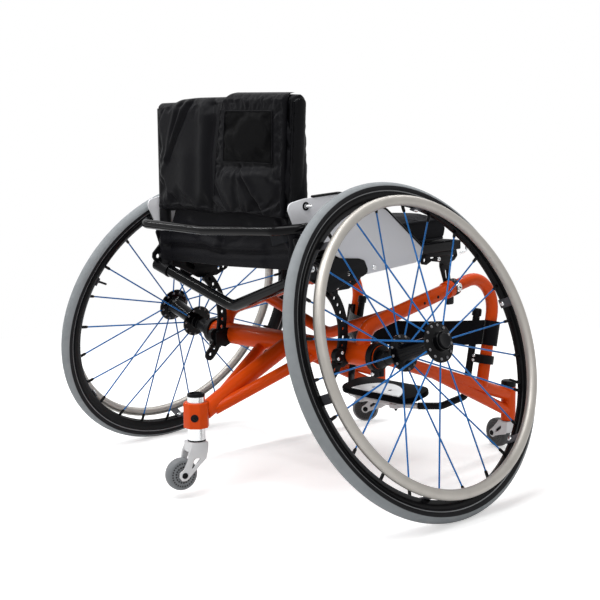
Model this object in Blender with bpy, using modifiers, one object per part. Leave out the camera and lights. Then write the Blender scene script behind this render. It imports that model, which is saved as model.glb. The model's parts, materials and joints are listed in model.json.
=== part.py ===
"""Basketball wheelchair: two cambered drive wheels on a welded tube frame, swivel casters in front
and on a rear boom, a sloping seat on perforated arcs, a padded back and a clamped footrest.

Metres, +Z up. The chair faces -Y and its left side is at +X. The origin is on the floor, under the
middle of the chair's outline.
"""

import math

import bmesh
import bpy
from mathutils import Matrix, Quaternion, Vector

# Clearances
GAP = 0.0003
RUNNING_GAP = 0.0005

# Drive wheels
TYRE_RADIUS = 0.3045
TYRE_SECTION = 0.025
TRACK = 0.8734
CAMBER = math.radians(19)
WHEEL_STEPS = 36
TYRE_SEAT_DEPTH = 0.0122
TYRE_SEAT_HALF = 0.0095
RIM_HALF_WIDTH = 0.012
RIM_LIP = 0.005
RIM_DEPTH = 0.0150
RIM_BED_HALF = 0.0065

# Hubs, with their places along the axle from the wheel's middle plane, outward positive
HUB_BORE = 0.0069
HUB_STEPS = 16
BOSS_RADIUS = 0.0175
BOSS_END = 0.058
COUNTERBORE_RADIUS = 0.0146
COUNTERBORE_DEPTH = 0.006
OUTER_FLANGE_RADIUS = 0.036
OUTER_FLANGE = 0.0445
INNER_FLANGE_RADIUS = 0.034
INNER_FLANGE = -0.042
FLANGE_THICKNESS = 0.005
BARREL_RADIUS = 0.016
INNER_BOSS_RADIUS = 0.0145
INNER_BOSS_END = -0.058
SPOKES = 24
SPOKE_RADIUS = 0.0018
SPOKE_ROOT = 0.030
SPOKE_START = {1: math.radians(1), -1: math.radians(5)}

# Handrims
HANDRIM_RADIUS = 0.260
HANDRIM_TUBE = 0.0095
HANDRIM_OFFSET = 0.033
TABS = 6
TAB_WIDTH = 0.013
TAB_THICKNESS = 0.0025
TAB_FOOT = 0.014
TAB_START = {1: math.radians(8.5), -1: math.radians(-17.5)}

# Quick-release axles
PIN_RADIUS = 0.00635
PIN_INNER_END = -0.098
PIN_OUTER_END = 0.0517
PIN_BORE = 0.0034
PIN_BORE_DEPTH = 0.022
PIN_STEPS = 16
BUTTON_RADIUS = 0.0135
BUTTON_STANDS = 0.0035
BUTTON_STEM = 0.003
BUTTON_TRAVEL = 0.0035

# Cross tube, with the camber plugs and their clamps
AXLE_HEIGHT = 0.2605
CROSS_RADIUS = 0.0215
CROSS_BORE = 0.0175
CROSS_HALF_LENGTH = 0.247
PLUG_DEPTH = 0.057
SPIGOT_RADIUS = 0.013
SPIGOT_SINK = 0.0044
SPIGOT_NECK_RADIUS = 0.008
SPIGOT_NECK_END = -0.070
CLAMP_RADIUS = 0.0265
CLAMP_WIDTH = 0.0135
CLAMP_INSET = 0.0015
CLAMP_LUG_HALF = 0.012
CLAMP_LUG_DROP = 0.010
CLAMP_SLOT = 0.0016

# Frame tubes
FRAME_HALF_WIDTH = 0.195
FRAME_CLAMP_ROOM = 0.018
SIDE_TUBE_RADIUS = 0.014
SIDE_TUBE_BEND = 0.035
SIDE_TUBE_CORNER = (-0.006, 0.3088)
SIDE_TUBE_RISE = 0.2145
SIDE_TUBE_LENGTH = 0.284
LOOP_RADIUS = 0.0125
LOOP_BEND = 0.066
LOOP_REACH = -0.4067
LOOP_RAKE = 0.212
LOOP_FOOT = 0.150
SLEEVE_RADIUS = 0.0168
SLEEVE_LENGTH = 0.028
UPPER_TUBE_RADIUS = 0.013
UPPER_TUBE_RISE = 0.006
LOWER_TUBE_RADIUS = 0.0115
LOWER_TUBE_START_Y = -0.204
LOWER_TUBE_DROP = 0.0015
LOWER_TUBE_FOOT = 0.082
BRACE_RADIUS = 0.0115
BRACE_Y = -0.105
BRACE_DROP = 0.062
BRACE_BEND = 0.05
BOOM_RADIUS = 0.0165
BOOM_KNEE = (0.118, 0.2045)
BOOM_END = (0.215, 0.1555)
STAY_RADIUS = 0.011
STAY_REAR = (0.150, 0.176)
STAY_SPREAD = 0.080
STAY_NOSE = 0.0125

# Casters
HOUSING_X = 0.190
HOUSING_Y = -0.452
HOUSING_RADIUS = 0.0155
HOUSING_BOTTOM = 0.0635
HOUSING_TOP = 0.136
HOUSING_CAP = 0.014
HOUSING_TUBE_Z = 0.118
HOUSING_STEPS = 16
STEM_RADIUS = 0.0065
STEM_BORE = 0.0085
STEM_HEADROOM = 0.004
CASTER_RADIUS = 0.031
CASTER_WIDTH = 0.022
CASTER_TRAIL = 0.032
CASTER_SWIVEL = {1: math.radians(48), -1: math.radians(102)}
FORK_CHEEK = 0.0045
FORK_SIDE_GAP = 0.0012
FORK_BOSS = 0.0095
FORK_CROWN = 0.016
CASTER_AXLE = 0.004
CASTER_BORE = 0.0046
REAR_PIVOT_Y = 0.234
REAR_BLOCK_HALF = 0.0245
REAR_BLOCK_BOTTOM = 0.128
REAR_BLOCK_TOP = 0.177
REAR_STEM_RADIUS = 0.0165
REAR_STEM_BOTTOM = 0.104
REAR_STEM_TOP = 0.187
REAR_STEM_CAP = 0.006
REAR_CASTER_RADIUS = 0.030
REAR_CASTER_HEIGHT = 0.045
REAR_CASTER_TRAIL = 0.033
REAR_CASTER_SWIVEL = math.radians(12)
CASTER_STEPS = 24

# Seat frame
RAIL_X = 0.178
RAIL_WIDTH = 0.025
RAIL_HEIGHT = 0.018
RAIL_FRONT = -0.320
RAIL_REAR = 0.118
SEAT_TOP_FRONT = 0.448
SEAT_SLOPE = math.radians(2.5)
ARC_THICKNESS = 0.005
ARC_WIDTH = 0.022
ARC_RADIUS = 0.1098
ARC_CENTRE = (0.138, 0.3015)
ARC_HALF_ANGLE = math.radians(49.5)
ARC_HOLES = 12
ARC_HOLE_RADIUS = 0.0035
ARC_LUG_THICKNESS = 0.006
ARC_BOSS = (0.046, 0.262)
ARC_BOSS_RADIUS = 0.013
ARC_BOSS_DEPTH = 0.011
BRACKET_THICKNESS = 0.005
BRACKET_POST_ROOM = 0.0015
POST_PLATE_THICKNESS = 0.009
POST_PLATE_INSET = 0.1725
POST_PLATE_SETBACK = 0.022
POST_PLATE_FOOT = 0.327
LOBE_SETBACK = 0.038
LOBE_THICKNESS = 0.010
SLEEVE_BOLT_SETBACK = 0.006
SLING_THICKNESS = 0.002

# Back
BACK_POST_X = 0.192
BACK_POST_Y = 0.155
BACK_POST_RADIUS = 0.0115
BACK_POST_TOP = 0.720
POST_BRACKET_THICKNESS = 0.004
BACK_HALF_WIDTH = 0.209
BACK_LOWER_HALF = 0.203
BACK_BOTTOM = 0.513
BACK_TOP = 0.737
BACK_FRONT = 0.124
BACK_REAR = 0.184
BACK_DRAW = 0.03
BACK_SEAM = 0.006
BACK_BAR_RADIUS = 0.009
BACK_BAR_BEND = 0.025
BACK_BAR_HALF = 0.228
BACK_BAR_FRONT = 0.140
BACK_BAR_REAR = 0.210
BACK_BAR_END_Z = 0.502
BACK_BAR_SAG = 0.0095
V_BAR_RADIUS = 0.0108
V_BAR_HALF = 0.213
V_BAR_END = (0.1613, 0.4146)
V_BAR_LOW = (0.1423, 0.3454)
V_BAR_BEND = 0.05
GRIP_RADIUS = 0.0125
GRIP_START = 0.178
GRIP_END = 0.215
POST_BOLT = (0.131, 0.428)
GUARD_X = 0.2065
GUARD_THICKNESS = 0.003
GUARD_BOLT = (-0.017, 0.424)

# Upholstery
CUSHION_HALF_WIDTH = 0.187
CUSHION_FRONT = -0.284
CUSHION_REAR = 0.119
CUSHION_THICKNESS = 0.056
CUSHION_CROWN = 0.010
CUSHION_DRAW = 0.03
CUSHION_GROOVE = 0.003
FABRIC_HALF_WIDTH = 0.187
FABRIC_TOP = 0.505
FABRIC_BOTTOM = 0.4195
FABRIC_MIDDLE_Y = 0.155
FABRIC_CURVE = 0.0138
FABRIC_THICKNESS = 0.006
FABRIC_FOLD = 0.0015
STRAP_HEIGHT = 0.051
STRAP_Z = 0.259
STRAP_THICKNESS = 0.003
STRAP_SAG = 0.130
STRAP_DROOP = 0.030

# Footrest
FOOT_POST_INSET = 0.028
FOOT_POST_RADIUS = 0.0075
FOOT_POST_SETBACK = 0.014
FOOT_POST_TOP = 0.299
FOOT_POST_FOOT = 0.128
FOOT_POST_BEND = 0.012
FOOT_CLAMP_Z = 0.205
FOOT_CLAMP_HEIGHT = 0.018
FOOT_CLAMP_WALL = 0.005
FOOT_ARM_IN = 0.098
FOOT_ARM_Y = -0.268
FOOT_BAR_RADIUS = 0.0065
FOOT_BAR_Y = -0.250
FOOT_BAR_HALF = 0.060
FOOTPLATE_HALF = 0.115
FOOTPLATE_DEPTH = 0.083
FOOTPLATE_THICKNESS = 0.012
FOOTPLATE_CORNER = 0.030
FOOTPLATE_TILT = math.radians(11)
FOOTPLATE_REAR = (-0.235, 0.1235)
INSERT_HALF = 0.070
INSERT_DEPTH = 0.053
INSERT_INSET = 0.006
INSERT_THICKNESS = 0.0025
INSERT_HOLE = 0.004


# Scene

for old in list(bpy.data.objects):
    bpy.data.objects.remove(old)

chair_parts = bpy.data.collections.new("basketball_wheelchair")
helpers = bpy.data.collections.new("cutters_and_joining_shapes")
bpy.context.scene.collection.children.link(chair_parts)
bpy.context.scene.collection.children.link(helpers)


def empty(name, matrix, parent=None):
    frame = bpy.data.objects.new(name, None)
    frame.empty_display_size = 0.05
    chair_parts.objects.link(frame)
    frame.parent = parent
    frame.matrix_basis = matrix
    return frame


RIM_LINE = TYRE_RADIUS - TYRE_SECTION / 2
WHEEL_X = TRACK / 2 - RIM_LINE * math.sin(CAMBER)
WHEEL_Z = RIM_LINE * math.cos(CAMBER) + TYRE_SECTION / 2
FORK_HALF = CASTER_WIDTH / 2 + FORK_SIDE_GAP + FORK_CHEEK


def fork_reach(swivel):
    """How far forward of its pivot a front fork's leading corner or its axle boss comes."""
    across = FORK_HALF * abs(math.sin(swivel))
    crown = FORK_CROWN * abs(math.cos(swivel))
    boss = CASTER_TRAIL * math.cos(swivel) - FORK_BOSS * abs(math.cos(swivel))
    return min(-crown, boss) - across


FRONT_REACH = HOUSING_Y + min(fork_reach(swivel) for swivel in CASTER_SWIVEL.values())
CENTRE_SHIFT = -(FRONT_REACH + RIM_LINE + TYRE_SECTION / 2 * math.cos(CAMBER)) / 2

chair = empty("wheelchair", Matrix.Translation((0, CENTRE_SHIFT, 0)))


def material(name, colour, roughness, metallic=0.0):
    finish = bpy.data.materials.new(name)
    finish.use_nodes = True
    shader = finish.node_tree.nodes["Principled BSDF"]
    shader.inputs["Base Color"].default_value = (*colour, 1.0)
    shader.inputs["Roughness"].default_value = roughness
    shader.inputs["Metallic"].default_value = metallic
    return finish


ORANGE = material("orange_frame_paint", (0.62, 0.075, 0.015), 0.35)
BLACK_METAL = material("black_anodised", (0.012, 0.012, 0.014), 0.4, 0.3)
SILVER = material("polished_aluminium", (0.75, 0.76, 0.77), 0.25, 1.0)
CAST_GREY = material("light_grey_cast", (0.55, 0.55, 0.55), 0.45, 0.5)
TYRE_GREY = material("grey_tyre", (0.2, 0.22, 0.23), 0.8)
CASTER_GREY = material("grey_caster_rubber", (0.12, 0.12, 0.13), 0.6)
RIM_BLACK = material("black_rim", (0.01, 0.01, 0.011), 0.2, 0.2)
SPOKE_BLUE = material("blue_spokes_and_hub", (0.02, 0.12, 0.45), 0.3, 0.4)
HANDRIM_GREY = material("warm_grey_handrim", (0.42, 0.40, 0.38), 0.35, 0.6)
FABRIC = material("black_fabric", (0.012, 0.012, 0.014), 0.9)
LEATHER = material("black_leather", (0.01, 0.01, 0.012), 0.45)
GUARD_GREY = material("light_grey_guard", (0.6, 0.6, 0.6), 0.5)


# Tools for the shapes


def put(piece, parent=None, matrix=None, collection=None):
    """Links a piece under its parent, or under the chair, at a place in that parent's frame."""
    (collection or chair_parts).objects.link(piece)
    piece.parent = parent or chair
    piece.matrix_basis = matrix or Matrix()
    return piece


def finish(piece, look):
    piece.data.materials.clear()
    piece.data.materials.append(look)
    if piece.type == "MESH":
        piece.data.shade_smooth()
        piece.data.set_sharp_from_angle(angle=math.radians(35))
    return piece


def as_helper(piece):
    """Keeps a cutter or a joining shape out of the finished chair."""
    if piece.name in chair_parts.objects:
        chair_parts.objects.unlink(piece)
    if piece.name not in helpers.objects:
        helpers.objects.link(piece)
    piece.hide_render = True
    piece.display_type = "WIRE"
    return piece


def as_mesh(curve):
    """The mesh of a curve, with its caps welded, as an object that isn't linked yet."""
    helpers.objects.link(curve)
    graph = bpy.context.evaluated_depsgraph_get()
    mesh = bpy.data.meshes.new_from_object(curve.evaluated_get(graph))
    shape = bmesh.new()
    shape.from_mesh(mesh)
    bmesh.ops.remove_doubles(shape, verts=shape.verts, dist=0.00001)
    bmesh.ops.recalc_face_normals(shape, faces=shape.faces)
    shape.to_mesh(mesh)
    shape.free()
    name = curve.name
    piece = bpy.data.objects.new(name + "_mesh", mesh)
    piece.matrix_world = curve.matrix_world
    bpy.data.objects.remove(curve)
    piece.name = name
    mesh.name = name
    return piece


SLIGHT_TURN = math.radians(12)


def rounded(points, bend, steps=4, closed=False):
    """The points with each corner but the slightest turned into an arc, also where they close."""
    points = [Vector(point) for point in points]
    if closed:
        corners = list(zip(points[-1:] + points[:-1], points, points[1:] + points[:1]))
        path = []
    else:
        corners = list(zip(points, points[1:], points[2:]))
        path = [points[0]]
    for before, corner, after in corners:
        back = (before - corner).to_3d().normalized()
        ahead = (after - corner).to_3d().normalized()
        half = back.angle(ahead) / 2
        if math.pi - 2 * half < SLIGHT_TURN or bend == 0:
            path.append(corner)
            continue
        start = corner.to_3d() + back * bend / math.tan(half)
        centre = corner.to_3d() + (back + ahead).normalized() * bend / math.sin(half)
        end = corner.to_3d() + ahead * bend / math.tan(half)
        turn = (start - centre).rotation_difference(end - centre)
        for step in range(steps + 1):
            arm = Quaternion().slerp(turn, step / steps) @ (start - centre)
            path.append((centre + arm).resized(len(corner)) if len(corner) == 2 else centre + arm)
    return path if closed else path + [points[-1]]


def bars(name, paths, radius, sides=12):
    """Round bars along one or more paths, as one mesh."""
    curve = bpy.data.curves.new(name, "CURVE")
    curve.dimensions = "3D"
    curve.bevel_depth = radius
    curve.bevel_resolution = (sides - 4) // 2
    curve.use_fill_caps = True
    for path in paths:
        spline = curve.splines.new("POLY")
        spline.points.add(len(path) - 1)
        for point, place in zip(spline.points, path):
            point.co = (*place, 1.0)
    return as_mesh(bpy.data.objects.new(name, curve))


tube_routes = {}


def tube(name, points, radius, look, bend=0.0, steps=4, sides=12):
    """A frame tube along points, bent at each inner one. Its route is kept for its neighbours."""
    path = rounded(points, bend, steps)
    tube_routes[name] = (path, radius, sides)
    return finish(put(bars(name, [path], radius, sides)), look)


def room_for(name):
    """A cutter round a tube that is already made, larger by the gap on its sides and ends."""
    found = bpy.data.objects.get("room_for_" + name)
    if found:
        return found
    path, radius, sides = tube_routes[name]
    first = (path[0] - path[1]).normalized() * GAP
    last = (path[-1] - path[-2]).normalized() * GAP
    longer = [path[0] + first, *path[1:-1], path[-1] + last]
    wider = radius + GAP / math.cos(math.pi / sides)
    return as_helper(put(bars("room_for_" + name, [longer], wider, sides), collection=helpers))


def combine(piece, others, operation):
    for other in others:
        as_helper(other)
        change = piece.modifiers.new(other.name, "BOOLEAN")
        change.operation = operation
        change.solver = "EXACT"
        change.object = other
    return piece


def join(piece, *others):
    return combine(piece, others, "UNION")


def cut(piece, *others):
    return combine(piece, others, "DIFFERENCE")


def clear(piece, *names):
    """Cuts a piece back from tubes that it meets."""
    return combine(piece, [room_for(name) for name in names], "DIFFERENCE")


def turned(name, profile, steps=24, ring=False):
    """A profile of (radius, height) points turned about Z. A ring's profile closes on itself."""
    mesh = bpy.data.meshes.new(name)
    count = len(profile)
    edges = [(i, (i + 1) % count) for i in range(count if ring else count - 1)]
    mesh.from_pydata([(radius, 0, height) for radius, height in profile], edges, [])
    piece = bpy.data.objects.new(name, mesh)
    screw = piece.modifiers.new("Turn", "SCREW")
    screw.steps = steps
    screw.render_steps = steps
    screw.use_merge_vertices = True
    screw.merge_threshold = 0.00005
    screw.use_smooth_shade = True
    return piece


def rod(name, radius, low, high, steps=24):
    return turned(name, [(0, high), (radius, high), (radius, low), (0, low)], steps)


def circle(middle, radius, sides=12):
    turns = [2 * math.pi * side / sides for side in range(sides)]
    across, up = middle
    return [(across + radius * math.cos(turn), up + radius * math.sin(turn)) for turn in turns]


def slot(start, end, radius, sides=4):
    """A closed outline with round ends about two points."""
    start, end = Vector(start), Vector(end)
    heading = math.atan2(*(end - start).yx)
    outline = []
    for middle, facing in ((start, heading + math.pi / 2), (end, heading - math.pi / 2)):
        for side in range(sides + 1):
            turn = facing + math.pi * side / sides
            outline.append(middle + radius * Vector((math.cos(turn), math.sin(turn))))
    return outline


def plate(name, outline, thickness, holes=()):
    """A flat outline with holes in it, as a curve with an even thickness."""
    curve = bpy.data.curves.new(name, "CURVE")
    curve.dimensions = "2D"
    curve.fill_mode = "BOTH"
    curve.extrude = thickness / 2
    for loop in (outline, *holes):
        spline = curve.splines.new("POLY")
        spline.points.add(len(loop) - 1)
        for point, (across, up) in zip(spline.points, loop):
            point.co = (across, up, 0, 1)
        spline.use_cyclic_u = True
    return bpy.data.objects.new(name, curve)


def solid_plate(name, outline, thickness, holes=()):
    return as_mesh(plate(name, outline, thickness, holes))


def block(name, size, corner=0.0):
    """A box about its own middle, with its edges eased."""
    shape = bmesh.new()
    bmesh.ops.create_cube(shape, size=1.0)
    bmesh.ops.scale(shape, vec=size, verts=shape.verts)
    if corner:
        bmesh.ops.bevel(
            shape, geom=shape.edges[:], offset=corner, segments=1, profile=0.5, affect="EDGES"
        )
    mesh = bpy.data.meshes.new(name)
    shape.to_mesh(mesh)
    shape.free()
    return bpy.data.objects.new(name, mesh)


def pad(name, counts, shape, levels=1, firm=0.0):
    """A cube cut into a coarse cage, with each corner moved by shape, then smoothed.

    Firm keeps the cube's own edges from shrinking as the rest is smoothed, up to 1.
    """
    cage = bmesh.new()
    bmesh.ops.create_cube(cage, size=2.0)
    for axis, cuts in enumerate(counts):
        along = [
            edge
            for edge in cage.edges
            if abs(edge.verts[0].co[axis] - edge.verts[1].co[axis]) > 1.0
        ]
        bmesh.ops.subdivide_edges(cage, edges=along, cuts=cuts)
    crease = cage.edges.layers.float.new("crease_edge")
    for edge in cage.edges:
        middle = (edge.verts[0].co + edge.verts[1].co) / 2
        if sum(abs(place) > 0.999 for place in middle) == 2:
            edge[crease] = firm
    for corner in cage.verts:
        corner.co = shape(*corner.co)
    mesh = bpy.data.meshes.new(name)
    cage.to_mesh(mesh)
    cage.free()
    piece = bpy.data.objects.new(name, mesh)
    smooth = piece.modifiers.new("Smooth", "SUBSURF")
    smooth.levels = levels
    smooth.render_levels = levels
    return piece


def moved(x=0.0, y=0.0, z=0.0):
    return Matrix.Translation((x, y, z))


# A flat outline stood up in the chair's side view: its X runs along Y, its Y up, its Z along X.
SIDE_VIEW = Matrix(((0, 0, 1), (1, 0, 0), (0, 1, 0))).to_4x4()

SIDES = (("left", 1), ("right", -1))


def side_view(x, y=0.0, z=0.0):
    return moved(x, y, z) @ SIDE_VIEW


def outward(side, y=0.0, z=0.0):
    """A frame whose Z runs along X from the chair's middle out to one side."""
    turn = Matrix.Rotation(0.0 if side > 0 else math.pi, 4, "Z")
    return moved(0, y, z) @ turn @ SIDE_VIEW


# Cross tube

tube_routes["cross_tube"] = (
    [Vector((-CROSS_HALF_LENGTH, 0, AXLE_HEIGHT)), Vector((CROSS_HALF_LENGTH, 0, AXLE_HEIGHT))],
    CROSS_RADIUS,
    24,
)
cross_tube = turned(
    "cross_tube",
    [
        (CROSS_BORE, CROSS_HALF_LENGTH),
        (CROSS_RADIUS, CROSS_HALF_LENGTH),
        (CROSS_RADIUS, -CROSS_HALF_LENGTH),
        (CROSS_BORE, -CROSS_HALF_LENGTH),
    ],
    ring=True,
)
finish(put(cross_tube, matrix=side_view(0, 0, AXLE_HEIGHT)), ORANGE)


# Rear boom with its octagonal clamp block, and the two stays under it

boom_start = Vector((0, 0, AXLE_HEIGHT))
rear_boom = tube(
    "rear_boom",
    [boom_start, (0, *BOOM_KNEE), (0, *BOOM_END)],
    BOOM_RADIUS,
    ORANGE,
)
block_corner = REAR_BLOCK_HALF / math.cos(math.pi / 8)
rear_block = rod("rear_clamp_block", block_corner, REAR_BLOCK_BOTTOM, REAR_BLOCK_TOP, steps=8)
put(rear_block, matrix=moved(0, REAR_PIVOT_Y) @ Matrix.Rotation(math.pi / 8, 4, "Z"))
rear_bore = rod(
    "rear_block_bore",
    (REAR_STEM_RADIUS + GAP) / math.cos(math.pi / 24),
    REAR_BLOCK_BOTTOM - 0.01,
    REAR_BLOCK_TOP + 0.01,
)
put(rear_bore, matrix=moved(0, REAR_PIVOT_Y))
join(rear_boom, rear_block)
cut(rear_boom, rear_bore)
clear(rear_boom, "cross_tube")

for hand, side in SIDES:
    stay = tube(
        "lower_stay_" + hand,
        [
            Vector((side * STAY_NOSE, *STAY_REAR)),
            Vector((side * STAY_SPREAD, 0, AXLE_HEIGHT - CROSS_RADIUS / 2)),
        ],
        STAY_RADIUS,
        ORANGE,
    )
    clear(stay, "cross_tube", "rear_boom")


# Side tubes, which carry the seat, and the front loops that plug into them


CLAMP_OUTER = CROSS_HALF_LENGTH - CLAMP_INSET
frame_rear_half = CLAMP_OUTER - CLAMP_WIDTH - FRAME_CLAMP_ROOM - SIDE_TUBE_RADIUS


def side_point(side, y, z):
    """A point on one side of the frame, which widens a little from the front to the axle."""
    widen = (frame_rear_half - FRAME_HALF_WIDTH) * max(0.0, 1 + y / SIDE_TUBE_LENGTH)
    return Vector((side * (FRAME_HALF_WIDTH + widen), y, z))


def side_line(y):
    """The height of the side tube's straight run at this place."""
    return SIDE_TUBE_CORNER[1] - SIDE_TUBE_RISE * (y - SIDE_TUBE_CORNER[0])


def upper_line(y):
    """The height of the upper tube's middle line at this place."""
    start = AXLE_HEIGHT + UPPER_TUBE_RISE
    return start + (HOUSING_TUBE_Z - start) * y / HOUSING_Y


def loop_y(z):
    """The front loop's place at this height on its raked leg."""
    return LOOP_REACH + LOOP_RAKE * (side_line(LOOP_REACH) - z)


side_tube_end = SIDE_TUBE_CORNER[0] - SIDE_TUBE_LENGTH
FOOT_POST_X = FRAME_HALF_WIDTH - FOOT_POST_INSET
for hand, side in SIDES:
    side_tube = tube(
        "side_tube_" + hand,
        [
            side_point(side, 0, AXLE_HEIGHT),
            side_point(side, *SIDE_TUBE_CORNER),
            side_point(side, side_tube_end, side_line(side_tube_end)),
        ],
        SIDE_TUBE_RADIUS,
        ORANGE,
        bend=SIDE_TUBE_BEND,
    )
    clear(side_tube, "cross_tube")

    upper_tube = tube(
        "upper_tube_" + hand,
        [
            side_point(side, 0, upper_line(0)),
            Vector((side * HOUSING_X, HOUSING_Y, HOUSING_TUBE_Z)),
        ],
        UPPER_TUBE_RADIUS,
        ORANGE,
    )
    housing = turned(
        "caster_housing_" + hand,
        [
            (0, HOUSING_TOP + HOUSING_CAP),
            (HOUSING_RADIUS - 0.002, HOUSING_TOP + HOUSING_CAP),
            (HOUSING_RADIUS, HOUSING_TOP + HOUSING_CAP - 0.002),
            (HOUSING_RADIUS, HOUSING_BOTTOM),
            (0, HOUSING_BOTTOM),
        ],
        HOUSING_STEPS,
    )
    put(housing, matrix=moved(side * HOUSING_X, HOUSING_Y))
    bore = rod(
        "caster_bore_" + hand, STEM_BORE, HOUSING_BOTTOM - 0.01, HOUSING_TOP, HOUSING_STEPS
    )
    put(bore, matrix=moved(side * HOUSING_X, HOUSING_Y))
    join(upper_tube, housing)
    cut(upper_tube, bore)
    clear(upper_tube, "cross_tube", "side_tube_" + hand)

    lower_tube = tube(
        "lower_tube_" + hand,
        [
            side_point(side, LOWER_TUBE_START_Y, upper_line(LOWER_TUBE_START_Y) - LOWER_TUBE_DROP),
            Vector((side * HOUSING_X, HOUSING_Y, LOWER_TUBE_FOOT)),
        ],
        LOWER_TUBE_RADIUS,
        ORANGE,
    )
    housing_room = rod(
        "room_for_housing_" + hand,
        (HOUSING_RADIUS + GAP) / math.cos(math.pi / HOUSING_STEPS),
        HOUSING_BOTTOM - 0.02,
        HOUSING_TOP + 0.03,
        HOUSING_STEPS,
    )
    put(housing_room, matrix=moved(side * HOUSING_X, HOUSING_Y))
    cut(lower_tube, housing_room)
    clear(lower_tube, "upper_tube_" + hand)

    loop_start = side_tube_end - GAP
    front_loop = tube(
        "front_loop_" + hand,
        [
            side_point(side, loop_start, side_line(loop_start)),
            side_point(side, LOOP_REACH, side_line(LOOP_REACH)),
            side_point(side, loop_y(LOOP_FOOT), LOOP_FOOT),
        ],
        LOOP_RADIUS,
        ORANGE,
        bend=LOOP_BEND,
        steps=6,
    )
    sleeve_front = side_tube_end - 0.004
    sleeve_rear = sleeve_front + SLEEVE_LENGTH
    sleeve = tube(
        "loop_sleeve_" + hand,
        [
            side_point(side, sleeve_rear, side_line(sleeve_rear)),
            side_point(side, sleeve_front, side_line(sleeve_front)),
        ],
        SLEEVE_RADIUS,
        ORANGE,
    )
    join(front_loop, sleeve)
    clear(front_loop, "side_tube_" + hand, "upper_tube_" + hand)

brace_height = side_line(BRACE_Y)
brace = tube(
    "v_brace",
    [
        side_point(1, BRACE_Y, brace_height),
        Vector((0, BRACE_Y, brace_height - BRACE_DROP)),
        side_point(-1, BRACE_Y, brace_height),
    ],
    BRACE_RADIUS,
    ORANGE,
    bend=BRACE_BEND,
    steps=2,
)
clear(brace, "side_tube_left", "side_tube_right")


# Camber plugs in the cross tube's ends, their clamps, and the quick-release axles


def wheel_frame(side):
    """A frame at a wheel's middle: Z along the axle and outward, X up in the wheel's plane."""
    out = Vector((side * math.cos(CAMBER), 0, math.sin(CAMBER)))
    up = Vector((-side * math.sin(CAMBER), 0, math.cos(CAMBER)))
    turn = Matrix((up, out.cross(up), out)).transposed().to_4x4()
    return moved(side * WHEEL_X, 0, WHEEL_Z) @ turn


def along_axle(x, z):
    """How far along a wheel's axle, outward from its middle plane, a point of the frame lies."""
    return (x - WHEEL_X) * math.cos(CAMBER) + (z - WHEEL_Z) * math.sin(CAMBER)


spigot_root = along_axle(CROSS_HALF_LENGTH, AXLE_HEIGHT) - SPIGOT_SINK
PLUG_RADIUS = CROSS_BORE * math.cos(math.pi / 24) - GAP
CLAMP_MIDDLE = CLAMP_OUTER - CLAMP_WIDTH / 2

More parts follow.
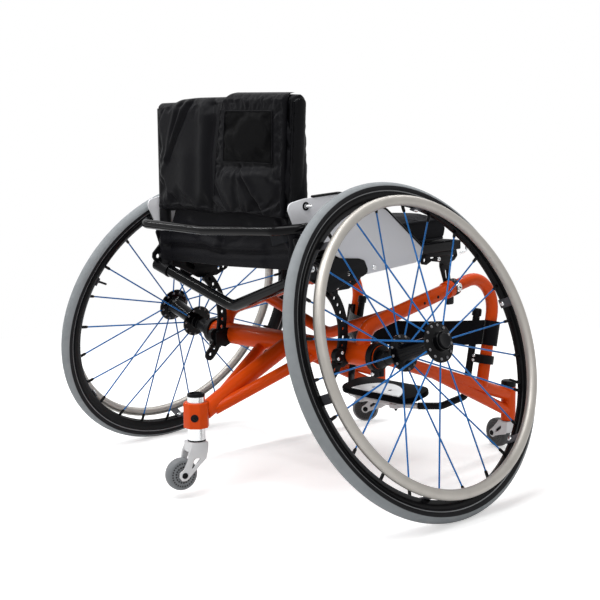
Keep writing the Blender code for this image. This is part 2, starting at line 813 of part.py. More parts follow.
for hand, side in SIDES:
    axle_frame = empty("axle_" + hand, wheel_frame(side), chair)

    plug = rod("camber_plug_" + hand, PLUG_RADIUS, -PLUG_DEPTH / 2, PLUG_DEPTH / 2, 16)
    put(plug, matrix=side_view(side * (CROSS_HALF_LENGTH - PLUG_DEPTH / 2), 0, AXLE_HEIGHT))
    spigot = rod(
        "camber_spigot_" + hand, SPIGOT_RADIUS, spigot_root, INNER_BOSS_END - RUNNING_GAP, 16
    )
    put(spigot, axle_frame)
    neck = tube(
        "camber_neck_" + hand,
        [
            Vector((side * (CROSS_HALF_LENGTH - SPIGOT_SINK), 0, AXLE_HEIGHT)),
            wheel_frame(side) @ Vector((0, 0, SPIGOT_NECK_END)),
        ],
        SPIGOT_NECK_RADIUS,
        BLACK_METAL,
    )
    pin_seat = rod(
        "pin_seat_" + hand,
        (PIN_RADIUS + GAP) / math.cos(math.pi / PIN_STEPS),
        PIN_INNER_END - GAP,
        INNER_BOSS_END + 0.01,
        PIN_STEPS,
    )
    put(pin_seat, axle_frame)
    tube_mouth = turned(
        "room_for_tube_mouth_" + hand,
        [
            (CROSS_BORE, CROSS_HALF_LENGTH),
            (CLAMP_RADIUS + GAP, CROSS_HALF_LENGTH),
            (CLAMP_RADIUS + GAP, CROSS_HALF_LENGTH - PLUG_DEPTH),
            (CROSS_BORE, CROSS_HALF_LENGTH - PLUG_DEPTH),
        ],
        ring=True,
    )
    put(tube_mouth, matrix=outward(side, 0, AXLE_HEIGHT))
    join(plug, spigot, neck)
    cut(plug, tube_mouth)
    cut(plug, pin_seat)
    finish(plug, BLACK_METAL)

    clamp_outline = circle((0, 0), CLAMP_RADIUS, 20)
    camber_clamp = solid_plate("camber_clamp_" + hand, clamp_outline, CLAMP_WIDTH)
    put(camber_clamp, matrix=side_view(side * CLAMP_MIDDLE, 0, AXLE_HEIGHT))
    lug_height = CLAMP_LUG_DROP + CLAMP_RADIUS / 2
    lug = block("clamp_lug_" + hand, (CLAMP_WIDTH, 2 * CLAMP_LUG_HALF, lug_height), 0.002)
    lug_z = AXLE_HEIGHT - CLAMP_RADIUS - CLAMP_LUG_DROP + lug_height / 2
    put(lug, matrix=moved(side * CLAMP_MIDDLE, 0, lug_z))
    slit = block("clamp_slit_" + hand, (CLAMP_WIDTH + 0.01, CLAMP_SLOT, CLAMP_RADIUS + 0.02))
    slit_z = AXLE_HEIGHT - CROSS_RADIUS / 2 - (CLAMP_RADIUS + 0.02) / 2
    put(slit, matrix=moved(side * CLAMP_MIDDLE, 0, slit_z))
    join(camber_clamp, lug)
    cut(camber_clamp, slit)
    clear(camber_clamp, "cross_tube")
    finish(camber_clamp, BLACK_METAL)

    pin_bore_end = PIN_OUTER_END - PIN_BORE_DEPTH
    pin = turned(
        "axle_pin_" + hand,
        [
            (0, pin_bore_end),
            (PIN_BORE, pin_bore_end),
            (PIN_BORE, PIN_OUTER_END),
            (PIN_RADIUS, PIN_OUTER_END),
            (PIN_RADIUS, PIN_INNER_END),
            (0, PIN_INNER_END),
        ],
        PIN_STEPS,
    )
    finish(put(pin, axle_frame), SILVER)

    button_bottom = BOSS_END - COUNTERBORE_DEPTH + RUNNING_GAP + BUTTON_TRAVEL
    button_top = BOSS_END + BUTTON_STANDS
    stem_end = pin_bore_end + RUNNING_GAP + BUTTON_TRAVEL
    button = turned(
        "release_button_" + hand,
        [
            (0, button_top),
            (BUTTON_RADIUS - 0.0015, button_top),
            (BUTTON_RADIUS, button_top - 0.0015),
            (BUTTON_RADIUS, button_bottom),
            (BUTTON_STEM, button_bottom),
            (BUTTON_STEM, stem_end),
            (0, stem_end),
        ],
        PIN_STEPS,
    )
    finish(put(button, axle_frame), BLACK_METAL)


# Drive wheels: tyre, rim, hub with its spokes, and handrim, all about the cambered axle

TYRE_SEAT = RIM_LINE - TYRE_SEAT_DEPTH
RIM_OUTER = TYRE_SEAT - GAP
RIM_INNER = RIM_OUTER - RIM_DEPTH
RIM_FLAT = RIM_INNER * math.cos(math.pi / WHEEL_STEPS) - GAP


def around(side, turn):
    """A wheel's own frame turned by an angle from the top toward the rear."""
    return Matrix.Rotation(-side * turn, 4, "Z")


for hand, side in SIDES:
    axis = empty("wheel_axis_" + hand, wheel_frame(side), chair)

    widest = math.radians(120)
    turns = [widest + (CAMBER - widest) * step / 3 for step in range(4)]
    turns += [-turn for turn in reversed(turns)]
    wall = [
        (RIM_LINE + TYRE_SECTION / 2 * math.cos(turn), TYRE_SECTION / 2 * math.sin(turn))
        for turn in turns
    ]
    tyre_profile = [(TYRE_SEAT, TYRE_SEAT_HALF), *wall, (TYRE_SEAT, -TYRE_SEAT_HALF)]
    tyre = turned("tyre_" + hand, tyre_profile, WHEEL_STEPS, ring=True)
    finish(put(tyre, axis), TYRE_GREY)

    rim_profile = [
        (RIM_INNER, RIM_BED_HALF),
        (RIM_OUTER - RIM_LIP, RIM_HALF_WIDTH),
        (RIM_OUTER, TYRE_SEAT_HALF),
        (RIM_OUTER, -TYRE_SEAT_HALF),
        (RIM_OUTER - RIM_LIP, -RIM_HALF_WIDTH),
        (RIM_INNER, -RIM_BED_HALF),
    ]
    rim = turned("rim_" + hand, rim_profile, WHEEL_STEPS, ring=True)
    finish(put(rim, axis), RIM_BLACK)

    outer_flange = OUTER_FLANGE + FLANGE_THICKNESS / 2
    inner_flange = INNER_FLANGE + FLANGE_THICKNESS / 2
    hub_profile = [
        (HUB_BORE, BOSS_END - COUNTERBORE_DEPTH),
        (COUNTERBORE_RADIUS, BOSS_END - COUNTERBORE_DEPTH),
        (COUNTERBORE_RADIUS, BOSS_END),
        (BOSS_RADIUS, BOSS_END),
        (BOSS_RADIUS, outer_flange),
        (OUTER_FLANGE_RADIUS, outer_flange),
        (OUTER_FLANGE_RADIUS, outer_flange - FLANGE_THICKNESS),
        (BOSS_RADIUS, outer_flange - FLANGE_THICKNESS - 0.004),
        (BARREL_RADIUS, 0),
        (BARREL_RADIUS, inner_flange + 0.003),
        (INNER_FLANGE_RADIUS, inner_flange),
        (INNER_FLANGE_RADIUS, inner_flange - FLANGE_THICKNESS),
        (INNER_BOSS_RADIUS, inner_flange - FLANGE_THICKNESS),
        (INNER_BOSS_RADIUS, INNER_BOSS_END),
        (HUB_BORE, INNER_BOSS_END),
    ]
    hub = turned("hub_" + hand, hub_profile, HUB_STEPS, ring=True)
    spoke_paths = []
    for spoke in range(SPOKES):
        turn = around(side, SPOKE_START[side] + 2 * math.pi * spoke / SPOKES)
        flange = INNER_FLANGE if spoke % 2 == 0 else OUTER_FLANGE
        root = turn @ Vector((SPOKE_ROOT, 0, flange))
        spoke_paths.append([root, turn @ Vector((RIM_FLAT, 0, 0))])
    spokes = bars("spokes_" + hand, spoke_paths, SPOKE_RADIUS, 4)
    put(spokes, axis)
    join(put(hub, axis), spokes)
    finish(hub, SPOKE_BLUE)

    ring_profile = [
        (HANDRIM_RADIUS + across, HANDRIM_OFFSET + up)
        for across, up in reversed(circle((0, 0), HANDRIM_TUBE, 8))
    ]
    handrim = turned("handrim_" + hand, ring_profile, WHEEL_STEPS, ring=True)
    put(handrim, axis)
    tab_outline = [
        (HANDRIM_RADIUS - HANDRIM_TUBE / 2, HANDRIM_OFFSET - HANDRIM_TUBE / 2),
        (HANDRIM_RADIUS, HANDRIM_OFFSET - HANDRIM_TUBE / 2),
        (RIM_FLAT, RIM_BED_HALF + 0.002),
        (RIM_FLAT, RIM_BED_HALF - TAB_FOOT),
        (RIM_FLAT - TAB_THICKNESS, RIM_BED_HALF - TAB_FOOT),
        (RIM_FLAT - TAB_THICKNESS, RIM_BED_HALF + 0.001),
    ]
    for tab in range(TABS):
        strap = solid_plate(f"handrim_tab_{hand}_{tab}", tab_outline, TAB_WIDTH)
        turn = around(side, TAB_START[side] + 2 * math.pi * tab / TABS)
        put(strap, axis, turn @ Matrix.Rotation(math.pi / 2, 4, "X"))
        join(handrim, strap)
    finish(handrim, HANDRIM_GREY)


# Rear stem tube, closed at the top, which the rear caster turns in

rear_stem = turned(
    "rear_stem_tube",
    [
        (0, REAR_STEM_TOP + REAR_STEM_CAP),
        (REAR_STEM_RADIUS - 0.002, REAR_STEM_TOP + REAR_STEM_CAP),
        (REAR_STEM_RADIUS, REAR_STEM_TOP),
        (REAR_STEM_RADIUS, REAR_STEM_BOTTOM),
        (STEM_BORE, REAR_STEM_BOTTOM),
        (STEM_BORE, REAR_STEM_TOP),
        (0, REAR_STEM_TOP),
    ],
)
finish(put(rear_stem, matrix=moved(0, REAR_PIVOT_Y)), SILVER)


# Casters. Each fork is one casting with its stem and its wheel's axle


def tangent_outline(corners, middle, radius, sides=16):
    """A convex outline round some corners and a boss."""
    points = sorted(tuple(point) for point in corners + circle(middle, radius, sides))
    outline = []
    for run in (points, points[::-1]):
        edge = []
        for point in run:
            while len(edge) > 1:
                back = Vector(edge[-1]) - Vector(edge[-2])
                ahead = Vector(point) - Vector(edge[-2])
                if back.cross(ahead) > 1e-12:
                    break
                edge.pop()
            edge.append(point)
        outline += edge[:-1]
    return outline


STAND = Matrix.Rotation(math.pi / 2, 4, "X")


def caster(name, pivot, stem_top, crown, bridge, hole, radius, height, trail, swivel):
    """A fork whose crown, bridge and hole are outlines in its own side view, and its wheel."""
    turn = Matrix.Rotation(math.pi / 2 - swivel, 4, "Z")
    swivel_frame = empty("swivel_axis_" + name, moved(*pivot) @ turn, chair)
    roll_frame = empty("roll_axis_" + name, moved(trail, 0, height) @ STAND, swivel_frame)
    slot_width = CASTER_WIDTH + 2 * FORK_SIDE_GAP

    fork = solid_plate("caster_fork_" + name, bridge, slot_width + FORK_CHEEK)
    put(fork, swivel_frame, STAND)
    cheek_outline = tangent_outline(crown, (trail, height), FORK_BOSS)
    for wing in (1, -1):
        cheek = solid_plate(f"cheek_{name}_{wing}", cheek_outline, FORK_CHEEK, [hole])
        put(cheek, swivel_frame, moved(0, wing * (slot_width + FORK_CHEEK) / 2) @ STAND)
        join(fork, cheek)
    crown_top = max(up for _, up in bridge)
    stem = rod("stem_" + name, STEM_RADIUS, crown_top - 0.004, stem_top, 16)
    half_axle = slot_width / 2 + FORK_CHEEK / 2
    axle = rod("caster_axle_" + name, CASTER_AXLE, -half_axle, half_axle, 16)
    join(fork, put(stem, swivel_frame), put(axle, roll_frame))
    finish(fork, CAST_GREY)

    half = CASTER_WIDTH / 2
    edge = 0.004
    profile = [
        (CASTER_BORE, half),
        (radius - edge, half),
        (radius, half - edge),
        (radius, edge - half),
        (radius - edge, -half),
        (CASTER_BORE, -half),
    ]
    wheel = turned("caster_wheel_" + name, profile, CASTER_STEPS, ring=True)
    finish(put(wheel, roll_frame), CASTER_GREY)


FORK_TOP = HOUSING_BOTTOM - RUNNING_GAP
for hand, side in SIDES:
    caster(
        hand,
        (side * HOUSING_X, HOUSING_Y),
        HOUSING_TOP - STEM_HEADROOM,
        [(-FORK_CROWN, FORK_TOP), (0.014, FORK_TOP), (-FORK_CROWN, 0.042)],
        [
            (-FORK_CROWN, 0.038),
            (-0.004, 0.038),
            (0.006, 0.0555),
            (0.014, FORK_TOP),
            (-FORK_CROWN, FORK_TOP),
        ],
        slot((0.006, 0.048), (0.018, 0.039), 0.003),
        CASTER_RADIUS,
        CASTER_RADIUS,
        CASTER_TRAIL,
        CASTER_SWIVEL[side],
    )

REAR_FORK_TOP = REAR_STEM_BOTTOM - RUNNING_GAP
caster(
    "rear",
    (0, REAR_PIVOT_Y),
    REAR_STEM_TOP - STEM_HEADROOM,
    [
        (-0.016, REAR_FORK_TOP),
        (0.018, REAR_FORK_TOP),
        (0.023, 0.085),
        (-0.015, 0.084),
        (-0.011, 0.069),
    ],
    [(-0.015, 0.084), (0.021, 0.084), (0.018, REAR_FORK_TOP), (-0.016, REAR_FORK_TOP)],
    [(-0.001, 0.075), (0.0195, 0.054), (0.013, 0.075)],
    REAR_CASTER_RADIUS,
    REAR_CASTER_HEIGHT,
    REAR_CASTER_TRAIL,
    REAR_CASTER_SWIVEL,
)


# Seat frame: rails on front posts and on perforated arcs that set the seat's height


def rail_top(y):
    """The sloping line of the seat rails' upper faces."""
    return SEAT_TOP_FRONT - math.tan(SEAT_SLOPE) * (y - RAIL_FRONT)


def arc_point(radius, turn):
    """A point of the perforated arc, by its angle from straight ahead, upward positive."""
    return (ARC_CENTRE[0] - radius * math.cos(turn), ARC_CENTRE[1] + radius * math.sin(turn))


arc_turns = [ARC_HALF_ANGLE * (step / 4 - 1) for step in range(9)]
arc_outline = [arc_point(ARC_RADIUS + ARC_WIDTH / 2, turn) for turn in arc_turns]
arc_outline += [arc_point(ARC_RADIUS - ARC_WIDTH / 2, turn) for turn in reversed(arc_turns)]
hole_pitch = 2 * ARC_HALF_ANGLE / ARC_HOLES
hole_turns = [hole_pitch * (hole + 0.5) - ARC_HALF_ANGLE for hole in range(ARC_HOLES)]
arc_holes = [circle(arc_point(ARC_RADIUS, turn), ARC_HOLE_RADIUS, 6) for turn in hole_turns]
ARC_BOLT = arc_point(ARC_RADIUS, hole_turns[-1])
ARC_LUG = [(0, 0.248), (0.026, 0.236), (0.050, 0.242), (0.050, 0.268), (0.030, 0.276), (0, 0.274)]
BRACKET_X = RAIL_X + RAIL_WIDTH / 2 + GAP + BRACKET_THICKNESS / 2
BRACKET_REAR = BACK_POST_Y - BACK_POST_RADIUS - BRACKET_POST_ROOM
POST_PLATE_X = BACK_POST_X + BACK_POST_RADIUS
POST_PLATE_Y = side_tube_end + POST_PLATE_SETBACK
LOBE_Y = side_tube_end + LOBE_SETBACK
SLEEVE_BOLT_Y = side_tube_end + SLEEVE_BOLT_SETBACK

for hand, side in SIDES:
    seat_arc = solid_plate("seat_arc_" + hand, arc_outline, ARC_THICKNESS, arc_holes)
    put(seat_arc, matrix=side_view(side * RAIL_X))
    lug = solid_plate("arc_lug_" + hand, ARC_LUG, ARC_LUG_THICKNESS)
    lug_x = RAIL_X - ARC_THICKNESS / 2 - ARC_LUG_THICKNESS / 2 + 0.001
    put(lug, matrix=side_view(side * lug_x))
    boss = rod("arc_boss_" + hand, ARC_BOSS_RADIUS, RAIL_X, RAIL_X + ARC_BOSS_DEPTH, 16)
    put(boss, matrix=outward(side, *ARC_BOSS))
    join(seat_arc, lug, boss)
    clear(seat_arc, "cross_tube")
    finish(seat_arc, BLACK_METAL)

    rail_length = RAIL_REAR - RAIL_FRONT
    seat_rail = block("seat_rail_" + hand, (RAIL_WIDTH, rail_length, RAIL_HEIGHT), 0.002)
    rail_middle = (RAIL_FRONT + RAIL_REAR) / 2
    rail_z = rail_top(rail_middle) - RAIL_HEIGHT / 2 / math.cos(SEAT_SLOPE)
    rail_turn = Matrix.Rotation(-SEAT_SLOPE, 4, "X")
    put(seat_rail, matrix=moved(side * RAIL_X, rail_middle, rail_z) @ rail_turn)
    finish(seat_rail, BLACK_METAL)

    bracket_corners = [
        (-0.008, 0.412),
        (0.046, 0.384),
        (0.076, 0.382),
        (0.125, 0.406),
        (BRACKET_REAR, 0.410),
        (BRACKET_REAR, 0.440),
        (0.100, 0.442),
        (0.010, 0.436),
    ]
    bracket = solid_plate(
        "seat_bracket_" + hand,
        rounded(bracket_corners, 0.005, 2, closed=True),
        BRACKET_THICKNESS,
        [slot((0.014, 0.411), (0.026, 0.408), 0.004), slot((0.090, 0.406), (0.104, 0.413), 0.005)],
    )
    put(bracket, matrix=side_view(side * BRACKET_X))
    spacer = rod("arc_spacer_" + hand, 0.007, RAIL_X + ARC_THICKNESS / 2 + GAP, BRACKET_X, 8)
    put(spacer, matrix=outward(side, *ARC_BOLT))
    join(bracket, spacer)
    finish(bracket, BLACK_METAL)

    post_plate_z = rail_top(POST_PLATE_Y) - RAIL_HEIGHT / math.cos(SEAT_SLOPE) - GAP
    seat_post = block("seat_post_" + hand, (0.024, 0.080, LOBE_THICKNESS), 0.003)
    lobe_place = moved(side * RAIL_X, LOBE_Y, rail_top(LOBE_Y))
    lobe_drop = RAIL_HEIGHT + GAP + LOBE_THICKNESS / 2
    put(seat_post, matrix=lobe_place @ rail_turn @ moved(0, 0, -lobe_drop))
    blade_corners = [
        (POST_PLATE_Y - 0.016, post_plate_z - LOBE_THICKNESS / 2),
        (POST_PLATE_Y - 0.016, 0.395),
        (POST_PLATE_Y - 0.018, POST_PLATE_FOOT),
        (POST_PLATE_Y - 0.004, POST_PLATE_FOOT),
        (POST_PLATE_Y + 0.010, 0.395),
        (POST_PLATE_Y + 0.012, post_plate_z - LOBE_THICKNESS / 2),
    ]
    blade = solid_plate(
        "post_blade_" + hand,
        blade_corners,
        POST_PLATE_THICKNESS,
        [slot((POST_PLATE_Y - 0.002, 0.384), (POST_PLATE_Y - 0.002, 0.396), 0.0035)],
    )
    put(blade, matrix=side_view(side * POST_PLATE_INSET))
    post_boss = rod("post_boss_" + hand, 0.006, POST_PLATE_INSET, FRAME_HALF_WIDTH, 12)
    put(post_boss, matrix=outward(side, SLEEVE_BOLT_Y, side_line(SLEEVE_BOLT_Y)))
    join(seat_post, blade, post_boss)
    clear(seat_post, "loop_sleeve_" + hand)
    finish(seat_post, BLACK_METAL)


# Back: posts on bolted plates, a stiffening bar behind them and a V bar below the seat


def v_bar_point(x):
    """A point of the V bar's straight arm, at a distance from the chair's middle."""
    low, end = Vector((0, *V_BAR_LOW)), Vector((V_BAR_HALF, *V_BAR_END))
    point = low.lerp(end, abs(x) / V_BAR_HALF)
    return Vector((x, point.y, point.z))


v_bar = tube(
    "seat_cross_bar",
    [v_bar_point(V_BAR_HALF), v_bar_point(0), v_bar_point(-V_BAR_HALF)],
    V_BAR_RADIUS,
    BLACK_METAL,
    bend=V_BAR_BEND,
)

# The plate that bolts each post to its seat bracket, about the post's line and the bolt's height
post_plate_corners = [
    (-0.005, 0.055),
    (0.018, 0.055),
    (0.008, 0.027),
    (0.025, 0.010),
    (0.026, 0.001),
    (0.020, -0.008),
    (-0.003, -0.016),
    (-0.033, -0.020),
    (-0.036, -0.014),
    (-0.036, 0.006),
    (-0.012, 0.018),
]
for hand, side in SIDES:
    grip = tube(
        "bar_grip_" + hand,
        [v_bar_point(side * GRIP_START), v_bar_point(side * GRIP_END)],
        GRIP_RADIUS,
        BLACK_METAL,
    )
    join(v_bar, grip)
    back_post = tube(
        "back_post_" + hand,
        [
            Vector((side * BACK_POST_X, BACK_POST_Y, v_bar_point(BACK_POST_X).z)),
            Vector((side * BACK_POST_X, BACK_POST_Y, BACK_POST_TOP)),
        ],
        BACK_POST_RADIUS,
        BLACK_METAL,
    )
    post_plate = solid_plate(
        "post_plate_" + hand,
        rounded(post_plate_corners, 0.004, 2, closed=True),
        POST_BRACKET_THICKNESS,
        [circle((0.013, 0.003), 0.0045, 8)],
    )
    put(post_plate, matrix=side_view(side * POST_PLATE_X, BACK_POST_Y, POST_BOLT[1]))
    bolt_start = BRACKET_X + BRACKET_THICKNESS / 2 + GAP
    post_bolt = rod("post_spacer_" + hand, 0.006, bolt_start, POST_PLATE_X, 8)
    put(post_bolt, matrix=outward(side, *POST_BOLT))
    join(back_post, post_plate, post_bolt)
    clear(back_post, "bar_grip_" + hand)

half_bar = [
    (0, BACK_BAR_REAR, BACK_BAR_END_Z - BACK_BAR_SAG),
    (BACK_BAR_HALF - 0.108, BACK_BAR_REAR - 0.002, BACK_BAR_END_Z - BACK_BAR_SAG),
    (BACK_BAR_HALF - 0.028, BACK_BAR_REAR - 0.014, BACK_BAR_END_Z - 0.002),
    (BACK_BAR_HALF, BACK_BAR_REAR - 0.042, BACK_BAR_END_Z - 0.001),
    (BACK_BAR_HALF, BACK_BAR_FRONT, BACK_BAR_END_Z),
]
back_bar = tube(
    "back_bar",
    half_bar[:0:-1] + [(-x, y, z) for x, y, z in half_bar],
    BACK_BAR_RADIUS,
    BLACK_METAL,
    bend=BACK_BAR_BEND,
    steps=2,
)
guard_corners = [
    (0.170, 0.496),
    (0.192, 0.542),
    (0.151, 0.551),
    (0.062, 0.558),
    (-0.054, 0.527),
    (-0.165, 0.443),
    (-0.140, 0.422),
    (-0.004, 0.409),
]
for hand, side in SIDES:
    boss_root = GUARD_X + GUARD_THICKNESS / 2 + GAP
    boss = rod("bar_boss_" + hand, 0.008, boss_root, BACK_BAR_HALF, 8)
    put(boss, matrix=outward(side, BACK_BAR_FRONT + 0.006, BACK_BAR_END_Z))
    join(back_bar, boss)

    guard = solid_plate(
        "side_guard_" + hand, rounded(guard_corners, 0.012, 2, closed=True), GUARD_THICKNESS
    )
    put(guard, matrix=side_view(side * GUARD_X))
    front_spacer = rod(
        "guard_spacer_" + hand, 0.006, RAIL_X + RAIL_WIDTH / 2 + GAP, GUARD_X, 8
    )
    put(front_spacer, matrix=outward(side, *GUARD_BOLT))
    rear_spacer = rod("guard_pin_" + hand, 0.005, BACK_POST_X, GUARD_X, 8)
    put(rear_spacer, matrix=outward(side, BACK_POST_Y, BACK_BAR_END_Z))
    join(guard, front_spacer, rear_spacer)
    clear(guard, "back_post_" + hand)
    finish(guard, GUARD_GREY)


# Footrest: bent posts clamped to the front loops, a cross bar, a plate on it and its insert

foot_tilt = moved(0, *FOOTPLATE_REAR) @ Matrix.Rotation(math.pi, 4, "Z")
foot_tilt = foot_tilt @ Matrix.Rotation(FOOTPLATE_TILT, 4, "X")
bar_drop = (FOOTPLATE_THICKNESS + GAP + FOOT_BAR_RADIUS) / math.cos(FOOTPLATE_TILT)
plate_rise = (FOOTPLATE_REAR[0] - FOOT_BAR_Y) * math.tan(FOOTPLATE_TILT)
FOOT_BAR_Z = FOOTPLATE_REAR[1] + plate_rise - bar_drop


def loop_section(side, z):
    """A frame across a front loop's leg: Z runs up the leg, Y to the rear."""
    turn = Matrix.Rotation(math.atan(LOOP_RAKE), 4, "X")
    return moved(*side_point(side, loop_y(z), z)) @ turn


def foot_post_point(side, z):
    """A point on a foot post's leg, which runs beside the front loop's and parallel to it."""
    return Vector((side * FOOT_POST_X, loop_y(z) + FOOT_POST_SETBACK, z))


for hand, side in SIDES:
    corner = foot_post_point(side, FOOT_POST_FOOT)
    arm_end = Vector((side * FOOT_ARM_IN, FOOT_ARM_Y, FOOT_BAR_Z))
    knee = corner.lerp(arm_end, 0.5)
    knee.z = FOOT_BAR_Z
    foot_post = tube(
        "foot_post_" + hand,
        [foot_post_point(side, FOOT_POST_TOP), corner, knee, arm_end],
        FOOT_POST_RADIUS,
        BLACK_METAL,
        bend=FOOT_POST_BEND,
        steps=2,
        sides=10,
    )
    section = loop_section(side, FOOT_CLAMP_Z)
    post_place = section.inverted() @ foot_post_point(side, FOOT_CLAMP_Z)
    clamp_outline = tangent_outline(
        circle((0, 0), LOOP_RADIUS + FOOT_CLAMP_WALL, 12),
        tuple(post_place.xy),
        FOOT_POST_RADIUS + 0.003,
        12,
    )
    clamp = solid_plate("foot_clamp_" + hand, clamp_outline, FOOT_CLAMP_HEIGHT)
    put(clamp, matrix=section)
    join(foot_post, clamp)
    clear(foot_post, "front_loop_" + hand)

foot_bar = tube(
    "foot_bar",
    [
        (FOOT_ARM_IN, FOOT_ARM_Y, FOOT_BAR_Z),
        (FOOT_BAR_HALF, FOOT_BAR_Y, FOOT_BAR_Z),
        (-FOOT_BAR_HALF, FOOT_BAR_Y, FOOT_BAR_Z),
        (-FOOT_ARM_IN, FOOT_ARM_Y, FOOT_BAR_Z),
    ],
    FOOT_BAR_RADIUS,
    CAST_GREY,
    bend=0.02,
    steps=2,
)
clear(foot_bar, "foot_post_left", "foot_post_right")

footplate_corners = [
    (FOOTPLATE_HALF, 0),
    (FOOTPLATE_HALF, FOOTPLATE_DEPTH),
    (-FOOTPLATE_HALF, FOOTPLATE_DEPTH),
    (-FOOTPLATE_HALF, 0),
]
footplate = solid_plate(
    "footplate",
    rounded(footplate_corners, FOOTPLATE_CORNER, 4, closed=True),
    FOOTPLATE_THICKNESS,
)
put(footplate, matrix=foot_tilt @ moved(0, 0, -FOOTPLATE_THICKNESS / 2))
finish(footplate, BLACK_METAL)

sag = INSERT_DEPTH
arc_radius = (INSERT_HALF**2 + sag**2) / (2 * sag)
spread = math.asin(INSERT_HALF / arc_radius)
insert_outline = []
for step in range(13):
    turn = spread * (1 - step / 6)
    across = arc_radius * math.sin(turn)
    ahead = INSERT_INSET + sag - arc_radius * (1 - math.cos(turn))
    insert_outline.append((across, ahead))
insert_holes = [
    circle((side * 0.35 * INSERT_HALF, INSERT_INSET + 0.4 * sag), INSERT_HOLE, 10)
    for _, side in SIDES
]
insert = solid_plate("footplate_insert", insert_outline, INSERT_THICKNESS, insert_holes)
put(insert, matrix=foot_tilt @ moved(0, 0, INSERT_THICKNESS / 2 + GAP))
finish(insert, SILVER)


# Upholstery. The soft pieces bulge between their edges and show their seams and folds


def ease(value, power=2):
    """One in the middle of a side, falling to nothing at its ends."""
    return 1 - abs(value) ** power


SLING_HALF = RAIL_X + RAIL_WIDTH / 2
sling_middle = (CUSHION_FRONT + CUSHION_REAR) / 2
sling = block(
    "seat_sling", (2 * SLING_HALF, CUSHION_REAR - CUSHION_FRONT, SLING_THICKNESS)
)
sling_z = rail_top(sling_middle) + (GAP + SLING_THICKNESS / 2) / math.cos(SEAT_SLOPE)
seat_turn = Matrix.Rotation(-SEAT_SLOPE, 4, "X")
put(sling, matrix=moved(0, sling_middle, sling_z) @ seat_turn)
finish(sling, FABRIC)


def cushion_point(across, along, up):
    """The seat cushion about its own middle, flat below and crowned above."""
    half_length = (CUSHION_REAR - CUSHION_FRONT) / 2
    drawn = 1 - CUSHION_DRAW * ease(along, 4) * ease(across * 0.5)
    x = across * CUSHION_HALF_WIDTH * drawn
    y = along * half_length * (1 - CUSHION_DRAW * ease(across, 4))
    if up < 0:
        return Vector((x, y, 0))
    crown = CUSHION_CROWN * ease(across) * ease(along)
    groove = CUSHION_GROOVE if abs(abs(across) - 0.33) < 0.05 and abs(along) < 0.95 else 0
    return Vector((x, y, CUSHION_THICKNESS - CUSHION_CROWN + crown - groove))


cushion = pad("seat_cushion", (5, 6, 1), cushion_point, firm=0.8)
cushion_z = rail_top(sling_middle) + (2 * GAP + SLING_THICKNESS) / math.cos(SEAT_SLOPE)
put(cushion, matrix=moved(0, sling_middle, cushion_z) @ seat_turn)
finish(cushion, FABRIC)


def fabric_point(across, along, up):
    """The cloth below the back: it bows to the rear and has two long creases."""
    x = across * FABRIC_HALF_WIDTH
    z = FABRIC_BOTTOM + (FABRIC_TOP - FABRIC_BOTTOM) * (up + 1) / 2
    bow = FABRIC_CURVE * abs(across) ** 2.5
    fold = FABRIC_FOLD * math.cos(2 * math.pi * (up + 0.2 * across)) * ease(across, 4)
    y = FABRIC_MIDDLE_Y - bow + along * FABRIC_THICKNESS / 2 + fold
    return Vector((x, y, z))


rear_fabric = pad("rear_fabric", (9, 0, 7), fabric_point, levels=0)
finish(put(rear_fabric), FABRIC)


def back_point(across, along, up):
    """The padded back: pinched along its edges and bulging between its seams."""
    height = BACK_TOP - BACK_BOTTOM
    depth = (BACK_REAR - BACK_FRONT) / 2
    swell = 0.55 + 0.45 * ease(across, 6) * ease(up, 6)
    seam = BACK_SEAM * (0.5 + 0.5 * math.cos(3 * math.pi * across)) ** 2 * ease(up, 4)
    widen = (BACK_HALF_WIDTH - BACK_LOWER_HALF) * (up + 1) / 2
    x = across * (BACK_LOWER_HALF + widen) * (1 - BACK_DRAW * ease(up))
    y = (BACK_FRONT + BACK_REAR) / 2 + along * (depth * swell - seam)
    z = BACK_BOTTOM + height * (up + 1) / 2
    return Vector((x, y, z))


backrest = pad("backrest_cushion", (7, 1, 5), back_point, firm=0.8)
put(backrest)
channels = [
    bars(
        "post_channel_" + hand,
        [
            [
                Vector((side * BACK_POST_X, BACK_POST_Y, BACK_BOTTOM - 0.02)),
                Vector((side * BACK_POST_X, BACK_POST_Y, BACK_POST_TOP + 0.001)),
            ]
        ],
        BACK_POST_RADIUS + 2 * GAP,
    )
    for hand, side in SIDES
]
for channel in channels:
    put(channel)
cut(backrest, *channels)
finish(backrest, LEATHER)


def strap_point(across, along, up):
    """The calf strap, which hangs loose: its middle sags to the rear and droops."""
    reach = FRAME_HALF_WIDTH - LOOP_RADIUS * 0.3
    rear = LOOP_RADIUS + GAP + STRAP_THICKNESS / 2 + STRAP_SAG * ease(across)
    outward_face = Vector((2 * STRAP_SAG * across / reach, 1, 0)).normalized()
    middle = Vector((across * reach, rear, up * STRAP_HEIGHT / 2 - STRAP_DROOP * ease(across)))
    return middle + outward_face * along * STRAP_THICKNESS / 2


strap = pad("calf_strap", (13, 0, 0), strap_point, levels=0)
strap_place = loop_section(1, STRAP_Z)
strap_place.translation.x = 0
put(strap, matrix=strap_place)
for hand, side in SIDES:
    eye_radius = LOOP_RADIUS + GAP + STRAP_THICKNESS
    eye = rod("strap_eye_" + hand, eye_radius, -STRAP_HEIGHT / 2, STRAP_HEIGHT / 2, 16)
    join(strap, put(eye, matrix=loop_section(side, STRAP_Z)))
clear(strap, "front_loop_left", "front_loop_right")
finish(strap, FABRIC)
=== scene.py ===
"""Basketball wheelchair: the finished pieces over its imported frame. Metres, +Z up, front at -Y."""

import json
import math

import bmesh
import bpy
from mathutils import Matrix, Quaternion, Vector
from mathutils.bvhtree import BVHTree


